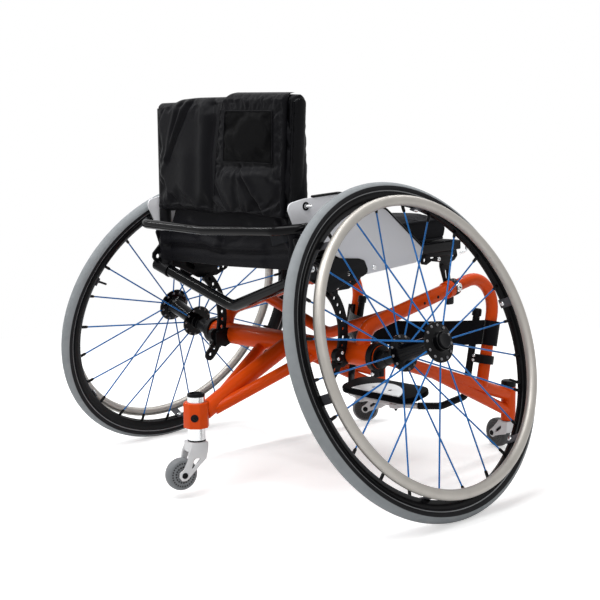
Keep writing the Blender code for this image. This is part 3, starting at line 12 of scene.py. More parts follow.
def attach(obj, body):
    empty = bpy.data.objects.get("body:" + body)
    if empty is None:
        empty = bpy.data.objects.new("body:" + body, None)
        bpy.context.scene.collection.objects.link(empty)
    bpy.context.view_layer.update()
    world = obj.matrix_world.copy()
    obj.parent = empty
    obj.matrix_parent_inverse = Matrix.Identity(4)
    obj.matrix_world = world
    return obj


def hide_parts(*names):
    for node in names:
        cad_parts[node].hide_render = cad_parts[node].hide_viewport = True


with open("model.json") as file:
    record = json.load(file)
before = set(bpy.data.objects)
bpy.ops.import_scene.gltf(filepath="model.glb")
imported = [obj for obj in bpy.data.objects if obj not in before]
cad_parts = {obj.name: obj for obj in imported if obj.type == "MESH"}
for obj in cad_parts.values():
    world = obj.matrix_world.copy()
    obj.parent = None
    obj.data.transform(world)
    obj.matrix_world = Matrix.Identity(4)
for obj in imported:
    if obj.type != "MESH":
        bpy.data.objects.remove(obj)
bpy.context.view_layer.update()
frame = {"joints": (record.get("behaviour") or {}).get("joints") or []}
joints = {joint["name"]: joint for joint in frame["joints"]}


# Frame tubes
# Aluminium tubes, welded into one frame and powder coated bright orange. The side tubes carry the
# seat, the upper and lower ones run to the front casters, and the front loops plug into sleeves.

AXLE_Y = joints["wheel_left_spin"]["pos_m"][1]
SIDES = (("left", 1), ("right", -1))


class Wire:
    """The output of a shader node. Arithmetic on it adds the Math nodes to its material."""

    def __init__(self, finish, socket):
        self.finish = finish
        self.socket = socket

    def maths(self, operation, *values):
        return self.finish.add("Math", {"operation": operation}, dict(enumerate(values)))

    def __add__(self, other):
        return self.maths("ADD", self, other)

    def __radd__(self, other):
        return self.maths("ADD", other, self)

    def __sub__(self, other):
        return self.maths("SUBTRACT", self, other)

    def __rsub__(self, other):
        return self.maths("SUBTRACT", other, self)

    def __mul__(self, other):
        return self.maths("MULTIPLY", self, other)

    def __rmul__(self, other):
        return self.maths("MULTIPLY", other, self)

    def __pow__(self, other):
        return self.maths("POWER", self, other)

    def __abs__(self):
        return self.maths("ABSOLUTE", self)

    def sine(self):
        return self.maths("SINE", self)

    def above(self, edge, soft):
        """0 below the edge and 1 above it, over a soft width."""
        return self.finish.add(
            "MapRange",
            {"interpolation_type": "SMOOTHSTEP"},
            {"Value": self, "From Min": edge - soft / 2, "From Max": edge + soft / 2},
        )

    def below(self, edge, soft):
        return 1 - self.above(edge, soft)


class Finish:
    """A procedural material. Each of its nodes comes from add()."""

    def __init__(self, name, slot, **constants):
        self.material = bpy.data.materials.new(name)
        self.material.use_nodes = True
        self.slot = slot
        self.nodes = self.material.node_tree.nodes
        self.links = self.material.node_tree.links
        self.shader = self.nodes["Principled BSDF"]
        for key, value in constants.items():
            self.feed(self.shader.inputs[key.replace("_", " ")], value)

    def feed(self, socket, value):
        if isinstance(value, Wire):
            self.links.new(value.socket, socket)
        elif socket.type == "RGBA":
            socket.default_value = (*value, 1.0)
        else:
            socket.default_value = value

    def add(self, kind, settings, inputs, output=0):
        node = self.nodes.new("ShaderNode" + kind)
        for key, value in settings.items():
            setattr(node, key, value)
        for key, value in inputs.items():
            self.feed(node.inputs[key], value)
        return Wire(self, node.outputs[output])

    def shade(self, **wires):
        for key, value in wires.items():
            self.feed(self.shader.inputs[key.replace("_", " ")], value)
        return self

    def places(self, centre=(0, 0, 0), turn=(0, 0, 0), size=(1, 1, 1)):
        """Object coordinates about a centre, turned and scaled."""
        coordinates = self.add("TexCoord", {}, {}, "Object")
        inputs = {"Vector": coordinates, "Location": centre, "Rotation": turn, "Scale": size}
        return self.add("Mapping", {"vector_type": "TEXTURE"}, inputs)

    def noise(self, where, scale, detail=2.0, roughness=0.5):
        inputs = {"Vector": where, "Scale": scale, "Detail": detail, "Roughness": roughness}
        return self.add("TexNoise", {}, inputs)

    def mix(self, share, first, second):
        """The first colour, going over to the second where share is 1."""
        return self.add("Mix", {"data_type": "RGBA"}, {0: share, 6: first, 7: second}, 2)

    def bump(self, height, depth, strength=1.0):
        return self.add("Bump", {}, {"Height": height, "Distance": depth, "Strength": strength})

    def split(self, where):
        parts = self.add("SeparateXYZ", {}, {"Vector": where})
        node = parts.socket.node
        return [Wire(self, output) for output in node.outputs]


def mottled(name, slot, colours, cloud, rough, grain, bump, **constants):
    """A finish whose colour and gloss drift in patches, over a fine grain."""
    finish = Finish(name, slot, **constants)
    where = finish.places()
    patches = finish.noise(where, *cloud)
    return finish.shade(
        Base_Color=finish.mix(patches, *colours),
        Roughness=rough[0] + rough[1] * patches,
        Normal=finish.bump(finish.noise(where, *grain), *bump),
    )


ORANGE = mottled(
    "orange_paint",
    "orange_frame_paint",
    ((0.78, 0.083, 0.005), (0.66, 0.06, 0.004)),
    (9.0, 3.0), (0.3, 0.1), (420.0, 2.0), (0.00012, 0.25),
    Specular_IOR_Level=0.06,
    Coat_Weight=0.1,
    Coat_Roughness=0.06,
)


def bent(points, bend, steps=10):
    """A route with an arc of radius bend at each inner corner."""
    points = [Vector(point) for point in points]
    route = [points[0]]
    for before, corner, after in zip(points, points[1:], points[2:]):
        back = (before - corner).normalized()
        ahead = (after - corner).normalized()
        half = back.angle(ahead) / 2
        if math.pi - 2 * half < 0.01:
            route.append(corner)
            continue
        start = corner + back * bend / math.tan(half)
        centre = corner + (back + ahead).normalized() * bend / math.sin(half)
        end = corner + ahead * bend / math.tan(half)
        turn = (start - centre).rotation_difference(end - centre)
        for step in range(steps + 1):
            route.append(centre + Quaternion().slerp(turn, step / steps) @ (start - centre))
    return [*route, points[-1]]


def solid_of(curve):
    """The mesh of a curve, as a shape with its caps welded."""
    guide = bpy.data.objects.new("guide", curve)
    bpy.context.scene.collection.objects.link(guide)
    graph = bpy.context.evaluated_depsgraph_get()
    mesh = bpy.data.meshes.new_from_object(guide.evaluated_get(graph))
    shape = bmesh.new()
    shape.from_mesh(mesh)
    bpy.data.meshes.remove(mesh)
    bpy.data.objects.remove(guide)
    bpy.data.curves.remove(curve)
    bmesh.ops.remove_doubles(shape, verts=shape.verts, dist=0.000005)
    bmesh.ops.recalc_face_normals(shape, faces=shape.faces)
    return shape


def bar(route, radius, sides=24, closed=False):
    """A round bar or tube along a route."""
    curve = bpy.data.curves.new("route", "CURVE")
    curve.dimensions = "3D"
    curve.bevel_depth = radius
    curve.bevel_resolution = (sides - 4) // 2
    curve.use_fill_caps = not closed
    spline = curve.splines.new("POLY")
    spline.points.add(len(route) - 1)
    for point, place in zip(spline.points, route):
        point.co = (*place, 1.0)
    spline.use_cyclic_u = closed
    return solid_of(curve)


def gathered(*shapes):
    """Several shapes as one."""
    whole = bmesh.new()
    for shape in shapes:
        mesh = bpy.data.meshes.new("part")
        shape.to_mesh(mesh)
        shape.free()
        whole.from_mesh(mesh)
        bpy.data.meshes.remove(mesh)
    return whole


def at(x=0.0, y=0.0, z=0.0):
    return Matrix.Translation((x, y, z))


def placed(shape, matrix):
    shape.transform(matrix)
    if matrix.determinant() < 0:
        bmesh.ops.reverse_faces(shape, faces=shape.faces)
    return shape


def settle(name, shape, finish, body="frame", stands_for=(), sharp=35):
    """A shape as a piece of the chair: moved to the axle's place, shaded, and on its body."""
    shape.transform(at(y=AXLE_Y))
    mesh = bpy.data.meshes.new(name)
    shape.to_mesh(mesh)
    shape.free()
    mesh.shade_smooth()
    mesh.set_sharp_from_angle(angle=math.radians(sharp))
    mesh.materials.append(finish.material)
    piece = bpy.data.objects.new(name, mesh)
    bpy.context.scene.collection.objects.link(piece)
    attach(piece, body)
    if stands_for:
        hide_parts(*stands_for)
    return piece


AXLE_Z = 0.2605
SIDE_X, SIDE_SPREAD, SPREAD_START = 0.195, 0.005, -0.284
SIDE_BEND = (-0.006, 0.3088)
SIDE_RISE = 0.2145
HOUSING_X, HOUSING_Y = 0.19, -0.452
BRACE_Y = -0.105


def frame_point(side, y, z):
    """A point on one side of the frame, which spreads a little toward the axle."""
    return Vector((side * (SIDE_X + SIDE_SPREAD * max(0.0, 1 - y / SPREAD_START)), y, z))


def side_point(side, y):
    """A point on the middle line of a side tube, which rises toward the front."""
    return frame_point(side, y, SIDE_BEND[1] - SIDE_RISE * (y - SIDE_BEND[0]))


cross_ends = (Vector((-0.247, 0, AXLE_Z)), Vector((0.247, 0, AXLE_Z)))
settle("cross_tube_painted", bar(cross_ends, 0.0215, 40), ORANGE, stands_for=["cross_tube"])


def turned(profile, steps=64, ring=False):
    """A profile of (radius, height) pairs spun about Z."""
    shape = bmesh.new()
    points = [shape.verts.new((radius, 0, height)) for radius, height in profile]
    pairs = list(zip(points, points[1:]))
    if ring:
        pairs.append((points[-1], points[0]))
    edges = [shape.edges.new(pair) for pair in pairs]
    bmesh.ops.spin(
        shape,
        geom=points + edges,
        cent=(0, 0, 0),
        axis=(0, 0, 1),
        angle=2 * math.pi,
        steps=steps,
        use_merge=True,
    )
    bmesh.ops.remove_doubles(shape, verts=shape.verts, dist=0.000005)
    bmesh.ops.recalc_face_normals(shape, faces=shape.faces)
    return shape


def eased(shape, ease, segments=3):
    """A shape with all its edges rounded."""
    bmesh.ops.bevel(
        shape,
        geom=shape.edges[:],
        offset=ease,
        segments=segments,
        profile=0.5,
        affect="EDGES",
        material=-1,
    )
    return shape


LOOP_TOP = side_point(1, -0.4067)
LEG_RAKE = 0.212


def loop_y(z):
    """How far forward the front loop's raked leg is at a height."""
    return LOOP_TOP.y + LEG_RAKE * (LOOP_TOP.z - z)


for hand, side in SIDES:
    side_route = bent(
        [frame_point(side, 0, AXLE_Z), frame_point(side, *SIDE_BEND), side_point(side, -0.256)],
        0.035,
    )
    upper_ends = (frame_point(side, 0, AXLE_Z + 0.006), Vector((side * HOUSING_X, HOUSING_Y, 0.118)))
    lower_ends = (frame_point(side, -0.204, 0.198), Vector((side * HOUSING_X, HOUSING_Y, 0.082)))
    loop_route = bent(
        [
            side_point(side, -0.24),
            frame_point(side, *LOOP_TOP.yz),
            frame_point(side, loop_y(0.15), 0.15),
        ],
        0.066,
        14,
    )
    housing = turned(
        [
            (0.0088, 0.0635), (0.0145, 0.0635), (0.0155, 0.0645), (0.0155, 0.134), (0.0152, 0.136),
            (0.0136, 0.1365), (0, 0.1365),
        ]
    )
    side_tube = bar(side_route, 0.014)
    settle("side_tube_painted_" + hand, side_tube, ORANGE, stands_for=["side_tube_" + hand])
    settle(
        "upper_tube_painted_" + hand,
        gathered(bar(upper_ends, 0.013), placed(housing, at(side * HOUSING_X, HOUSING_Y))),
        ORANGE,
        stands_for=["upper_tube_" + hand],
    )
    lower_tube = bar(lower_ends, 0.0115)
    settle("lower_tube_painted_" + hand, lower_tube, ORANGE, stands_for=["lower_tube_" + hand])
    sleeve_route = [side_point(side, y) for y in (-0.238, -0.268)]
    settle(
        "front_loop_painted_" + hand,
        gathered(bar(loop_route, 0.0125), bar(sleeve_route, 0.0168, 32)),
        ORANGE,
        stands_for=["front_loop_" + hand],
    )

brace_knee = Vector((0, BRACE_Y, 0.268))
brace_route = bent([side_point(1, BRACE_Y), brace_knee, side_point(-1, BRACE_Y)], 0.05)
settle("v_brace_painted", bar(brace_route, 0.0115), ORANGE, stands_for=["v_brace"])

BOOM = [Vector((0, 0, AXLE_Z)), Vector((0, 0.118, 0.2045)), Vector((0, 0.215, 0.1555))]
boom_block = bmesh.new()
bmesh.ops.create_cone(boom_block, cap_ends=True, segments=8, radius1=0.0245, radius2=0.0245, depth=0.047)
placed(eased(boom_block, 0.0015), at(0, 0.234, 0.1525) @ Matrix.Rotation(math.pi / 8, 4, "Z"))
settle(
    "rear_boom_painted", gathered(bar(bent(BOOM, 0.05), 0.0165, 32), boom_block), ORANGE,
    stands_for=["rear_boom"],
)
for hand, side in SIDES:
    stay_ends = (Vector((side * 0.007, 0.196, 0.158)), Vector((side * 0.08, 0, 0.24975)))
    stay = bar(stay_ends, 0.011)
    settle("lower_stay_painted_" + hand, stay, ORANGE, stands_for=["lower_stay_" + hand])


# Camber plugs, clamps and axles
# Black turned plugs in the cross tube's ends set the camber. Pinch clamps with a socket bolt hold
# them, and a quick-release axle with a spring button goes through each wheel into its plug.


def anodised(name, colour, roughness, grain=600.0, shine=0.1):
    """Dark anodised metal with a fine grain and slightly uneven gloss."""
    colours = (colour, tuple(1.7 * part for part in colour))
    return mottled(
        name,
        "black_anodised",
        colours,
        (14.0, 3.0),
        (roughness, 0.12),
        (grain, 2.0),
        (0.00005, 0.2),
        Specular_IOR_Level=shine,
    )


SATIN_BLACK = anodised("satin_black_metal", (0.0035, 0.0035, 0.0042), 0.32)
GLOSS_BLACK = anodised("gloss_black_metal", (0.0015, 0.0015, 0.002), 0.05, 200.0)


def bright_metal(name, slot, colour, roughness):
    """Polished or machined silver metal with fine turning marks."""
    colours = (colour, tuple(0.75 * part for part in colour))
    return mottled(
        name, slot, colours, (25.0, 3.0), (roughness, 0.15), (900.0, 1.0), (0.00003, 0.3), Metallic=1.0
    )


CHROME = bright_metal("chrome_bolts", "polished_aluminium", (0.78, 0.79, 0.8), 0.12)

CAMBER = math.radians(19)
WHEEL_CENTRE = {
    side: Vector(joints[f"wheel_{hand}_spin"]["pos_m"]) - Vector((0, AXLE_Y, 0))
    for hand, side in SIDES
}


def wheel_place(side, turn=0.0):
    """A frame at a wheel's middle: Z outward on its axle, X up, turned from the top rearward."""
    out = Vector((side * math.cos(CAMBER), 0, math.sin(CAMBER)))
    up = Vector((-side * math.sin(CAMBER), 0, math.cos(CAMBER)))
    axes = Matrix((up, out.cross(up), out)).transposed().to_4x4()
    return at(*WHEEL_CENTRE[side]) @ axes @ Matrix.Rotation(-side * turn, 4, "Z")


def facing(place, heading):
    """A frame at a place with its Z along a heading."""
    turn = Vector(heading).to_track_quat("Z", "Y").to_matrix().to_4x4()
    return at(*place) @ turn


def sideways(shape, side, x, y, z):
    """A shape at a place on one side of the chair, with its Z turned outward."""
    return placed(shape, facing((side * x, y, z), (side, 0, 0)))


def bolt(radius, height, socket=0.45):
    """A domed screw head standing on Z = 0, with a hollow socket."""
    hole = radius * socket
    return turned(
        [
            (0, height * 0.35),
            (hole, height * 0.35),
            (hole, height * 0.96),
            (hole * 1.15, height),
            (radius * 0.72, height * 0.93),
            (radius * 0.92, height * 0.7),
            (radius, height * 0.35),
            (radius, -0.0005),
            (0, -0.0005),
        ],
        20,
    )


def washer(radius, hole, height):
    ease = height * 0.25
    return turned(
        [
            (hole, height),
            (radius - ease, height),
            (radius, height - ease),
            (radius, -0.0003),
            (hole, -0.0003),
        ],
        32,
        ring=True,
    )


def box(size, ease=0.0015, segments=3):
    """A block about its own middle with rounded edges."""
    shape = bmesh.new()
    bmesh.ops.create_cube(shape, size=1.0)
    bmesh.ops.scale(shape, vec=size, verts=shape.verts)
    return eased(shape, ease, segments)


def eased_rod(radius, low, high, ease=0.001, steps=40):
    """A round rod along Z with its rims eased."""
    return turned(
        [
            (0, high),
            (radius - ease, high),
            (radius, high - ease),
            (radius, low + ease),
            (radius - ease, low),
            (0, low),
        ],
        steps,
    )


def mirrored(half):
    """A profile and its mirror image below, for a ring that is alike on both sides."""
    return half + [(radius, -height) for radius, height in reversed(half)]


CLAMP_X = 0.23875
for hand, side in SIDES:
    wheel = wheel_place(side)
    ring = turned(mirrored([(0.0217, 0.0065), (0.0256, 0.0067), (0.0265, 0.0058)]), 56, ring=True)
    lugs = [
        placed(box((0.0132, 0.0105, 0.022)), at(side * CLAMP_X, way * 0.0063, 0.2345)) for way in (1, -1)
    ]
    clamp = gathered(sideways(ring, side, CLAMP_X, 0, AXLE_Z), *lugs)
    settle("camber_clamp_ring_" + hand, clamp, SATIN_BLACK, stands_for=["camber_clamp_" + hand])
    head = placed(bolt(0.004, 0.0042), facing((side * CLAMP_X, 0.0116, 0.2305), (0, 1, 0)))
    tip = placed(bolt(0.0034, 0.003, 0.2), facing((side * CLAMP_X, -0.0116, 0.2305), (0, -1, 0)))
    settle("clamp_bolt_" + hand, gathered(head, tip), CHROME)

    plug = turned(
        [
            (0, 0.2492), (0.0205, 0.2492), (0.0213, 0.2486), (0.0213, 0.2472), (0.0172, 0.2472),
            (0.0172, 0.2), (0, 0.2),
        ],
        48,
    )
    sideways(plug, side, 0, 0, AXLE_Z)
    spigot = turned(
        [
            (0.0066, -0.0586), (0.0118, -0.0586), (0.013, -0.0598), (0.013, -0.08),
            (0.0142, -0.0815), (0.015, -0.1), (0, -0.103),
        ],
        40,
    )
    settle(
        "camber_plug_turned_" + hand,
        gathered(plug, placed(spigot, wheel)),
        SATIN_BLACK,
        stands_for=["camber_plug_" + hand],
    )
    axle = eased_rod(0.00635, -0.098, 0.0517, 0.0006, 32)
    settle("quick_axle_" + hand, placed(axle, wheel), CHROME, stands_for=["axle_pin_" + hand])
    button = turned(
        [
            (0, 0.06), (0.007, 0.0602), (0.011, 0.0612), (0.0124, 0.0614), (0.0134, 0.0604),
            (0.0135, 0.058), (0.0135, 0.0566), (0.0124, 0.0562), (0, 0.0562),
        ],
        40,
    )
    settle(
        "release_button_cap_" + hand,
        placed(button, wheel),
        SATIN_BLACK,
        "button_" + hand,
        ["release_button_" + hand],
    )


# Drive wheels
# Grey-treaded racing tyres on gloss black rims, with blue fibre spokes laced to black hubs. The
# handrim is an anodised aluminium hoop screwed to the rim with six bent tabs.

WHEEL_STEPS = 180
RIM_LINE = 0.292
TYRE_ROUND = 0.0125
TYRE_SEAT = (0.2803, 0.0092)
SPOKES = 24
HANDRIM_RADIUS, HANDRIM_OFFSET = 0.26, 0.033
TABS = 6
TAB_FOOT_RADIUS = 0.2632


def wheel_measures(finish, side):
    """A point's turn about the axle, its radius and its place across the wheel, as wires."""
    matrix = at(y=AXLE_Y) @ wheel_place(side)
    where = finish.places(matrix.translation, matrix.to_euler())
    x, y, across = finish.split(where)
    radius = (x * x + y * y) ** 0.5
    return y.maths("ARCTAN2", y, x), radius, across, where


def tyre_rubber(hand, side):
    """A light tread with fine grooves, a dark sidewall, and a thin pale line near the rim that is a
    painted highlight.
    """
    rubber = Finish("tyre_rubber_" + hand, "grey_tyre", Specular_IOR_Level=0.08)
    turn, radius, across, where = wheel_measures(rubber, side)
    round_section = abs(across.maths("ARCTAN2", across, radius - RIM_LINE))
    tread = round_section.below(1.36, 0.1)
    # A thin pale line on the tyre next to the rim: a painted highlight, not a colour of the rubber.
    rim_edge_highlight = round_section.above(2.05, 0.02) * round_section.below(2.2, 0.02)
    grooves = (round_section * 62).sine() * tread
    sipes = (turn * 540).sine() * tread
    dust = rubber.noise(where, 60.0, 3.0)
    light = rubber.mix(dust, (0.25, 0.268, 0.28), (0.33, 0.35, 0.365))
    dark = rubber.mix(dust, (0.008, 0.008, 0.009), (0.016, 0.016, 0.018))
    colour = rubber.mix(tread, dark, light)
    colour = rubber.mix(rim_edge_highlight, colour, (0.3, 0.31, 0.32))
    height = 0.6 * grooves + 0.25 * sipes + 0.4 * dust
    return rubber.shade(
        Base_Color=colour, Roughness=0.52 + 0.25 * tread, Normal=rubber.bump(height, 0.0003, 0.5)
    )


RIM_GLOSS = mottled(
    "rim_gloss_black",
    "black_rim",
    ((0.003, 0.003, 0.0036), (0.0065, 0.0065, 0.0072)),
    (20.0, 3.0), (0.16, 0.1), (300.0, 2.0), (0.00004, 0.15),
    Specular_IOR_Level=0.06,
    Coat_Weight=0.06,
    Coat_Roughness=0.05,
)
SPOKE_BLUE = mottled(
    "blue_spokes",
    "blue_spokes_and_hub",
    ((0.002, 0.11, 0.37), (0.005, 0.17, 0.52)),
    (55.0, 2.0), (0.3, 0.15), (1500.0, 2.0), (0.00004, 0.3),
    Specular_IOR_Level=0.25,
)


def handrim_metal(hand, side):
    """Warm grey anodised metal with faint turning lines round the hoop."""
    metal = Finish("handrim_metal_" + hand, "warm_grey_handrim", Metallic=0.85)
    _, radius, across, where = wheel_measures(metal, side)
    section = across.maths("ARCTAN2", across - HANDRIM_OFFSET, radius - HANDRIM_RADIUS)
    rings = (section * 90).sine()
    cloud = metal.noise(where, 30.0, 4.0)
    return metal.shade(
        Base_Color=metal.mix(cloud, (0.42, 0.4, 0.37), (0.35, 0.33, 0.305)),
        Roughness=0.42 + 0.12 * cloud,
        Normal=metal.bump(0.3 * rings + cloud, 0.00004, 0.25),
    )


def on_circle(middle, radius, turn):
    return (middle[0] + radius * math.cos(turn), middle[1] + radius * math.sin(turn))


def circle(middle, radius, count=20):
    return [on_circle(middle, radius, 2 * math.pi * step / count) for step in range(count)]


NIPPLE = [(0, 0.0), (0.0026, 0.0005), (0.003, 0.002), (0.003, 0.013), (0.0021, 0.016), (0, 0.016)]
VALVE = [
    (0, 0.03), (0.0019, 0.0295), (0.0023, 0.028), (0.0023, 0.012), (0.003, 0.011), (0.003, 0),
    (0, 0),
]
TAB_GREY = anodised("tab_grey_metal", (0.05, 0.05, 0.056), 0.3)
ANCHOR_GREY = anodised("spoke_anchor_grey", (0.16, 0.16, 0.17), 0.25)
HUB_PROFILE = [
    (0.0069, 0.0522), (0.0144, 0.0522), (0.0146, 0.0574), (0.0152, 0.058), (0.017, 0.058),
    (0.0176, 0.0573), (0.0176, 0.0482), (0.019, 0.0472), (0.035, 0.0466), (0.036, 0.0458),
    (0.036, 0.0432), (0.035, 0.0424), (0.0215, 0.0412), (0.0172, 0.035), (0.0155, 0.012),
    (0.0155, -0.014), (0.017, -0.032), (0.0205, -0.0385), (0.033, -0.0397), (0.034, -0.0404),
    (0.034, -0.0436), (0.033, -0.0444), (0.0158, -0.045), (0.0146, -0.0462), (0.0146, -0.0572),
    (0.0138, -0.058), (0.0069, -0.058),
]

for hand, side in SIDES:
    wheel = wheel_place(side)
    body = "wheel_" + hand
    wall_turns = [math.radians(128 - 256 * step / 28) for step in range(29)]
    wall = [on_circle((RIM_LINE, 0), TYRE_ROUND, turn) for turn in wall_turns]
    tyre = turned([TYRE_SEAT, *wall, (TYRE_SEAT[0], -TYRE_SEAT[1])], WHEEL_STEPS, ring=True)
    settle("tyre_round_" + hand, placed(tyre, wheel), tyre_rubber(hand, side), body, ["tyre_" + hand])

    half_rim = [
        (0.265, 0.0), (0.265, 0.0052), (0.2658, 0.0066), (0.268, 0.008), (0.2735, 0.0112),
        (0.277, 0.012), (0.2806, 0.012), (0.2812, 0.0114), (0.2806, 0.0094),
    ]
    rim_profile = half_rim[:0:-1] + [half_rim[0]] + [(r, -s) for r, s in half_rim[1:]]
    rim = turned(rim_profile, WHEEL_STEPS, ring=True)
    settle("rim_black_" + hand, placed(rim, wheel), RIM_GLOSS, body, ["rim_" + hand])

    hub = turned(HUB_PROFILE, 64, ring=True)
    settle("hub_shell_" + hand, placed(hub, wheel), GLOSS_BLACK, body, ["hub_" + hand])
    start = math.radians(1 if side > 0 else 5)
    spokes, nipples, anchors = [], [], []
    for spoke in range(SPOKES):
        place = wheel_place(side, start + 2 * math.pi * spoke / SPOKES)
        flange = -0.042 if spoke % 2 == 0 else 0.0445
        root, tip = place @ Vector((0.03, 0, flange)), place @ Vector((0.2655, 0, 0))
        along = (tip - root).normalized()
        spokes.append(bar([root, tip], 0.00155, 12))
        nipple = turned(NIPPLE, 12)
        nipples.append(placed(nipple, facing(tip, -along)))
        anchor = eased_rod(0.0026, -0.0042, 0.0042, 0.0008, 12)
        anchors.append(placed(anchor, facing(root, place.col[2][:3])))
    settle("spokes_" + hand, gathered(*spokes), SPOKE_BLUE, body, ["hub_" + hand])
    settle("spoke_nipples_" + hand, gathered(*nipples), SATIN_BLACK, body)
    settle("spoke_anchors_" + hand, gathered(*anchors), ANCHOR_GREY, body)

    hoop = turned(circle((HANDRIM_RADIUS, HANDRIM_OFFSET), 0.0095, 28), WHEEL_STEPS, ring=True)
    hoop_metal = handrim_metal(hand, side)
    settle("handrim_hoop_" + hand, placed(hoop, wheel), hoop_metal, body, ["handrim_" + hand])
    tabs, screws = [], []
    for tab in range(TABS):
        place = wheel_place(side, math.radians((8.5 if side > 0 else -17.5) + 360 / TABS * tab))
        lean = Vector((HANDRIM_RADIUS - TAB_FOOT_RADIUS, 0, 0.0262 - 0.0075))
        slope = facing((0.2613, 0, 0.0168), lean)
        tabs.append(placed(box((0.017, 0.003, lean.length + 0.004), 0.0008, 2), place @ slope))
        foot = box((0.003, 0.017, 0.0155), 0.0008, 2)
        tabs.append(placed(foot, place @ at(TAB_FOOT_RADIUS, 0, 0.0002)))
        inward = facing((0.2619, 0, 0.0), (-1, 0, 0))
        screws.append(placed(bolt(0.0044, 0.003, 0.35), place @ inward))
    settle("handrim_tabs_" + hand, gathered(*tabs), TAB_GREY, body)
    settle("handrim_screws_" + hand, gathered(*screws), CHROME, body)
    valve_turn = math.radians(68.4 if side > 0 else 248.4)
    valve = turned(VALVE, 16)
    valve_place = wheel_place(side, valve_turn) @ facing((0.2656, 0, 0), (-1, 0, 0))
    settle("tyre_valve_" + hand, placed(valve, valve_place), SATIN_BLACK, body)


# Rear stem and the three casters
# A polished tube clamped in the boom's block carries the anti-tip caster. Each caster is a cast
# light grey fork turning on its stem, with a small rubber wheel on a cross bolt.

STEM_Y = joints["caster_rear_swivel"]["pos_m"][1] - AXLE_Y
POLISHED = bright_metal("polished_stem", "polished_aluminium", (0.8, 0.81, 0.82), 0.14)
stem = turned(
    [
        (0.0088, 0.1045), (0.0158, 0.1045), (0.0165, 0.1052), (0.0165, 0.1868), (0.0158, 0.1874),
        (0, 0.1874),
    ]
)
settle("stem_tube_polished", placed(stem, at(0, STEM_Y)), POLISHED, stands_for=["rear_stem_tube"])
cap = turned(
    [
        (0, 0.1895), (0.0105, 0.1895), (0.0118, 0.1922), (0.014, 0.193), (0.0162, 0.192),
        (0.0166, 0.1902), (0.0166, 0.1878), (0, 0.1878),
    ]
)
seal = placed(washer(0.0168, 0.009, 0.0022), at(0, 0, 0.1046))
settle("stem_cap_and_seal", placed(gathered(cap, seal), at(0, STEM_Y)), SATIN_BLACK)
for hand, side in reversed(SIDES):
    heading = Vector((side * 0.7071, 0.7071, 0))
    spot = facing(Vector((0, STEM_Y, 0.15)) + heading * 0.0229, heading)
    # A flat black washer round each set screw is painted shade, standing for the dark of its recessed
    # hole.
    settle("block_bolt_shade_disc_" + hand, placed(washer(0.0072, 0.003, 0.0008), spot), SATIN_BLACK)
    settle("block_bolt_" + hand, placed(bolt(0.0036, 0.0018, 0.55), spot), SATIN_BLACK)


def outline_of(corners, bend, steps=5):
    """A closed outline with its corners rounded."""
    corners = [Vector((*corner, 0)) for corner in corners]
    return bent([corners[-1], *corners, corners[0]], bend, steps)[1:-1]


def slot_hole(start, end, radius, sides=8):
    start, end = Vector((*start, 0)), Vector((*end, 0))
    heading = math.atan2(end.y - start.y, end.x - start.x)
    outline = []
    for middle, first in ((start, heading + math.pi / 2), (end, heading - math.pi / 2)):
        for side in range(sides + 1):
            turn = first + math.pi * side / sides
            outline.append(middle + radius * Vector((math.cos(turn), math.sin(turn), 0)))
    return outline


def plate(outline, thickness, holes=(), ease=0.0006):
    """A flat piece about Z = 0, its edges rounded, also round its holes."""
    curve = bpy.data.curves.new("outline", "CURVE")
    curve.dimensions = "2D"
    curve.fill_mode = "BOTH"
    curve.extrude = thickness / 2 - ease
    curve.bevel_depth = ease
    curve.bevel_resolution = 2
    curve.offset = -ease
    for loop in (outline, *holes):
        spline = curve.splines.new("POLY")
        spline.points.add(len(loop) - 1)
        for point, place in zip(spline.points, loop):
            point.co = (place[0], place[1], 0, 1)
        spline.use_cyclic_u = True
    return solid_of(curve)


CAST_GREY = mottled(
    "light_grey_casting",
    "light_grey_cast",
    ((0.66, 0.66, 0.67), (0.56, 0.56, 0.57)),
    (40.0, 3.0), (0.3, 0.12), (700.0, 2.0), (0.00006, 0.3),
    Metallic=0.2,
    Coat_Weight=0.25,
)


def roller_rubber(name, tread, core, pivot_place):
    """A caster's rubber: its tread, and a core with two rings of moulded holes, dented by the bump and
    painted near black as the shade inside them.
    """
    rubber = Finish("roller_" + name, "grey_caster_rubber")
    matrix = at(y=AXLE_Y) @ pivot_place
    x, y, across = rubber.split(rubber.places(matrix.translation, matrix.to_euler()))
    radius = (x * x + y * y) ** 0.5
    turn = y.maths("ARCTAN2", y, x)
    hole_dents_and_shade = None
    for count, ring_radius, hole in ((14, 0.0215, 0.0017), (9, 0.0145, 0.0019)):
        step = 2 * math.pi / count
        along = (turn.maths("PINGPONG", turn, step / 2) - step / 4) * ring_radius
        far = ((radius - ring_radius) ** 2 + along * along) ** 0.5
        ring = far.below(hole, 0.0006)
        hole_dents_and_shade = ring if hole_dents_and_shade is None else hole_dents_and_shade.maths("MAXIMUM", hole_dents_and_shade, ring)
    dust = rubber.noise(rubber.places(), 90.0, 3.0)
    rim = radius.above(0.0262, 0.0008)
    body = rubber.mix(rim, core, tread)
    body = rubber.mix(0.35 * dust, body, tuple(0.6 * part for part in tread))
    return rubber.shade(
        # The holes' near-black colour is painted shade; the bump gives their dents.
        Base_Color=rubber.mix(hole_dents_and_shade, body, (0.012, 0.012, 0.013)),
        Roughness=0.42 + 0.25 * dust,
        Normal=rubber.bump(1 - hole_dents_and_shade, 0.0012, 0.8),
    )


STAND = Matrix.Rotation(math.pi / 2, 4, "X")


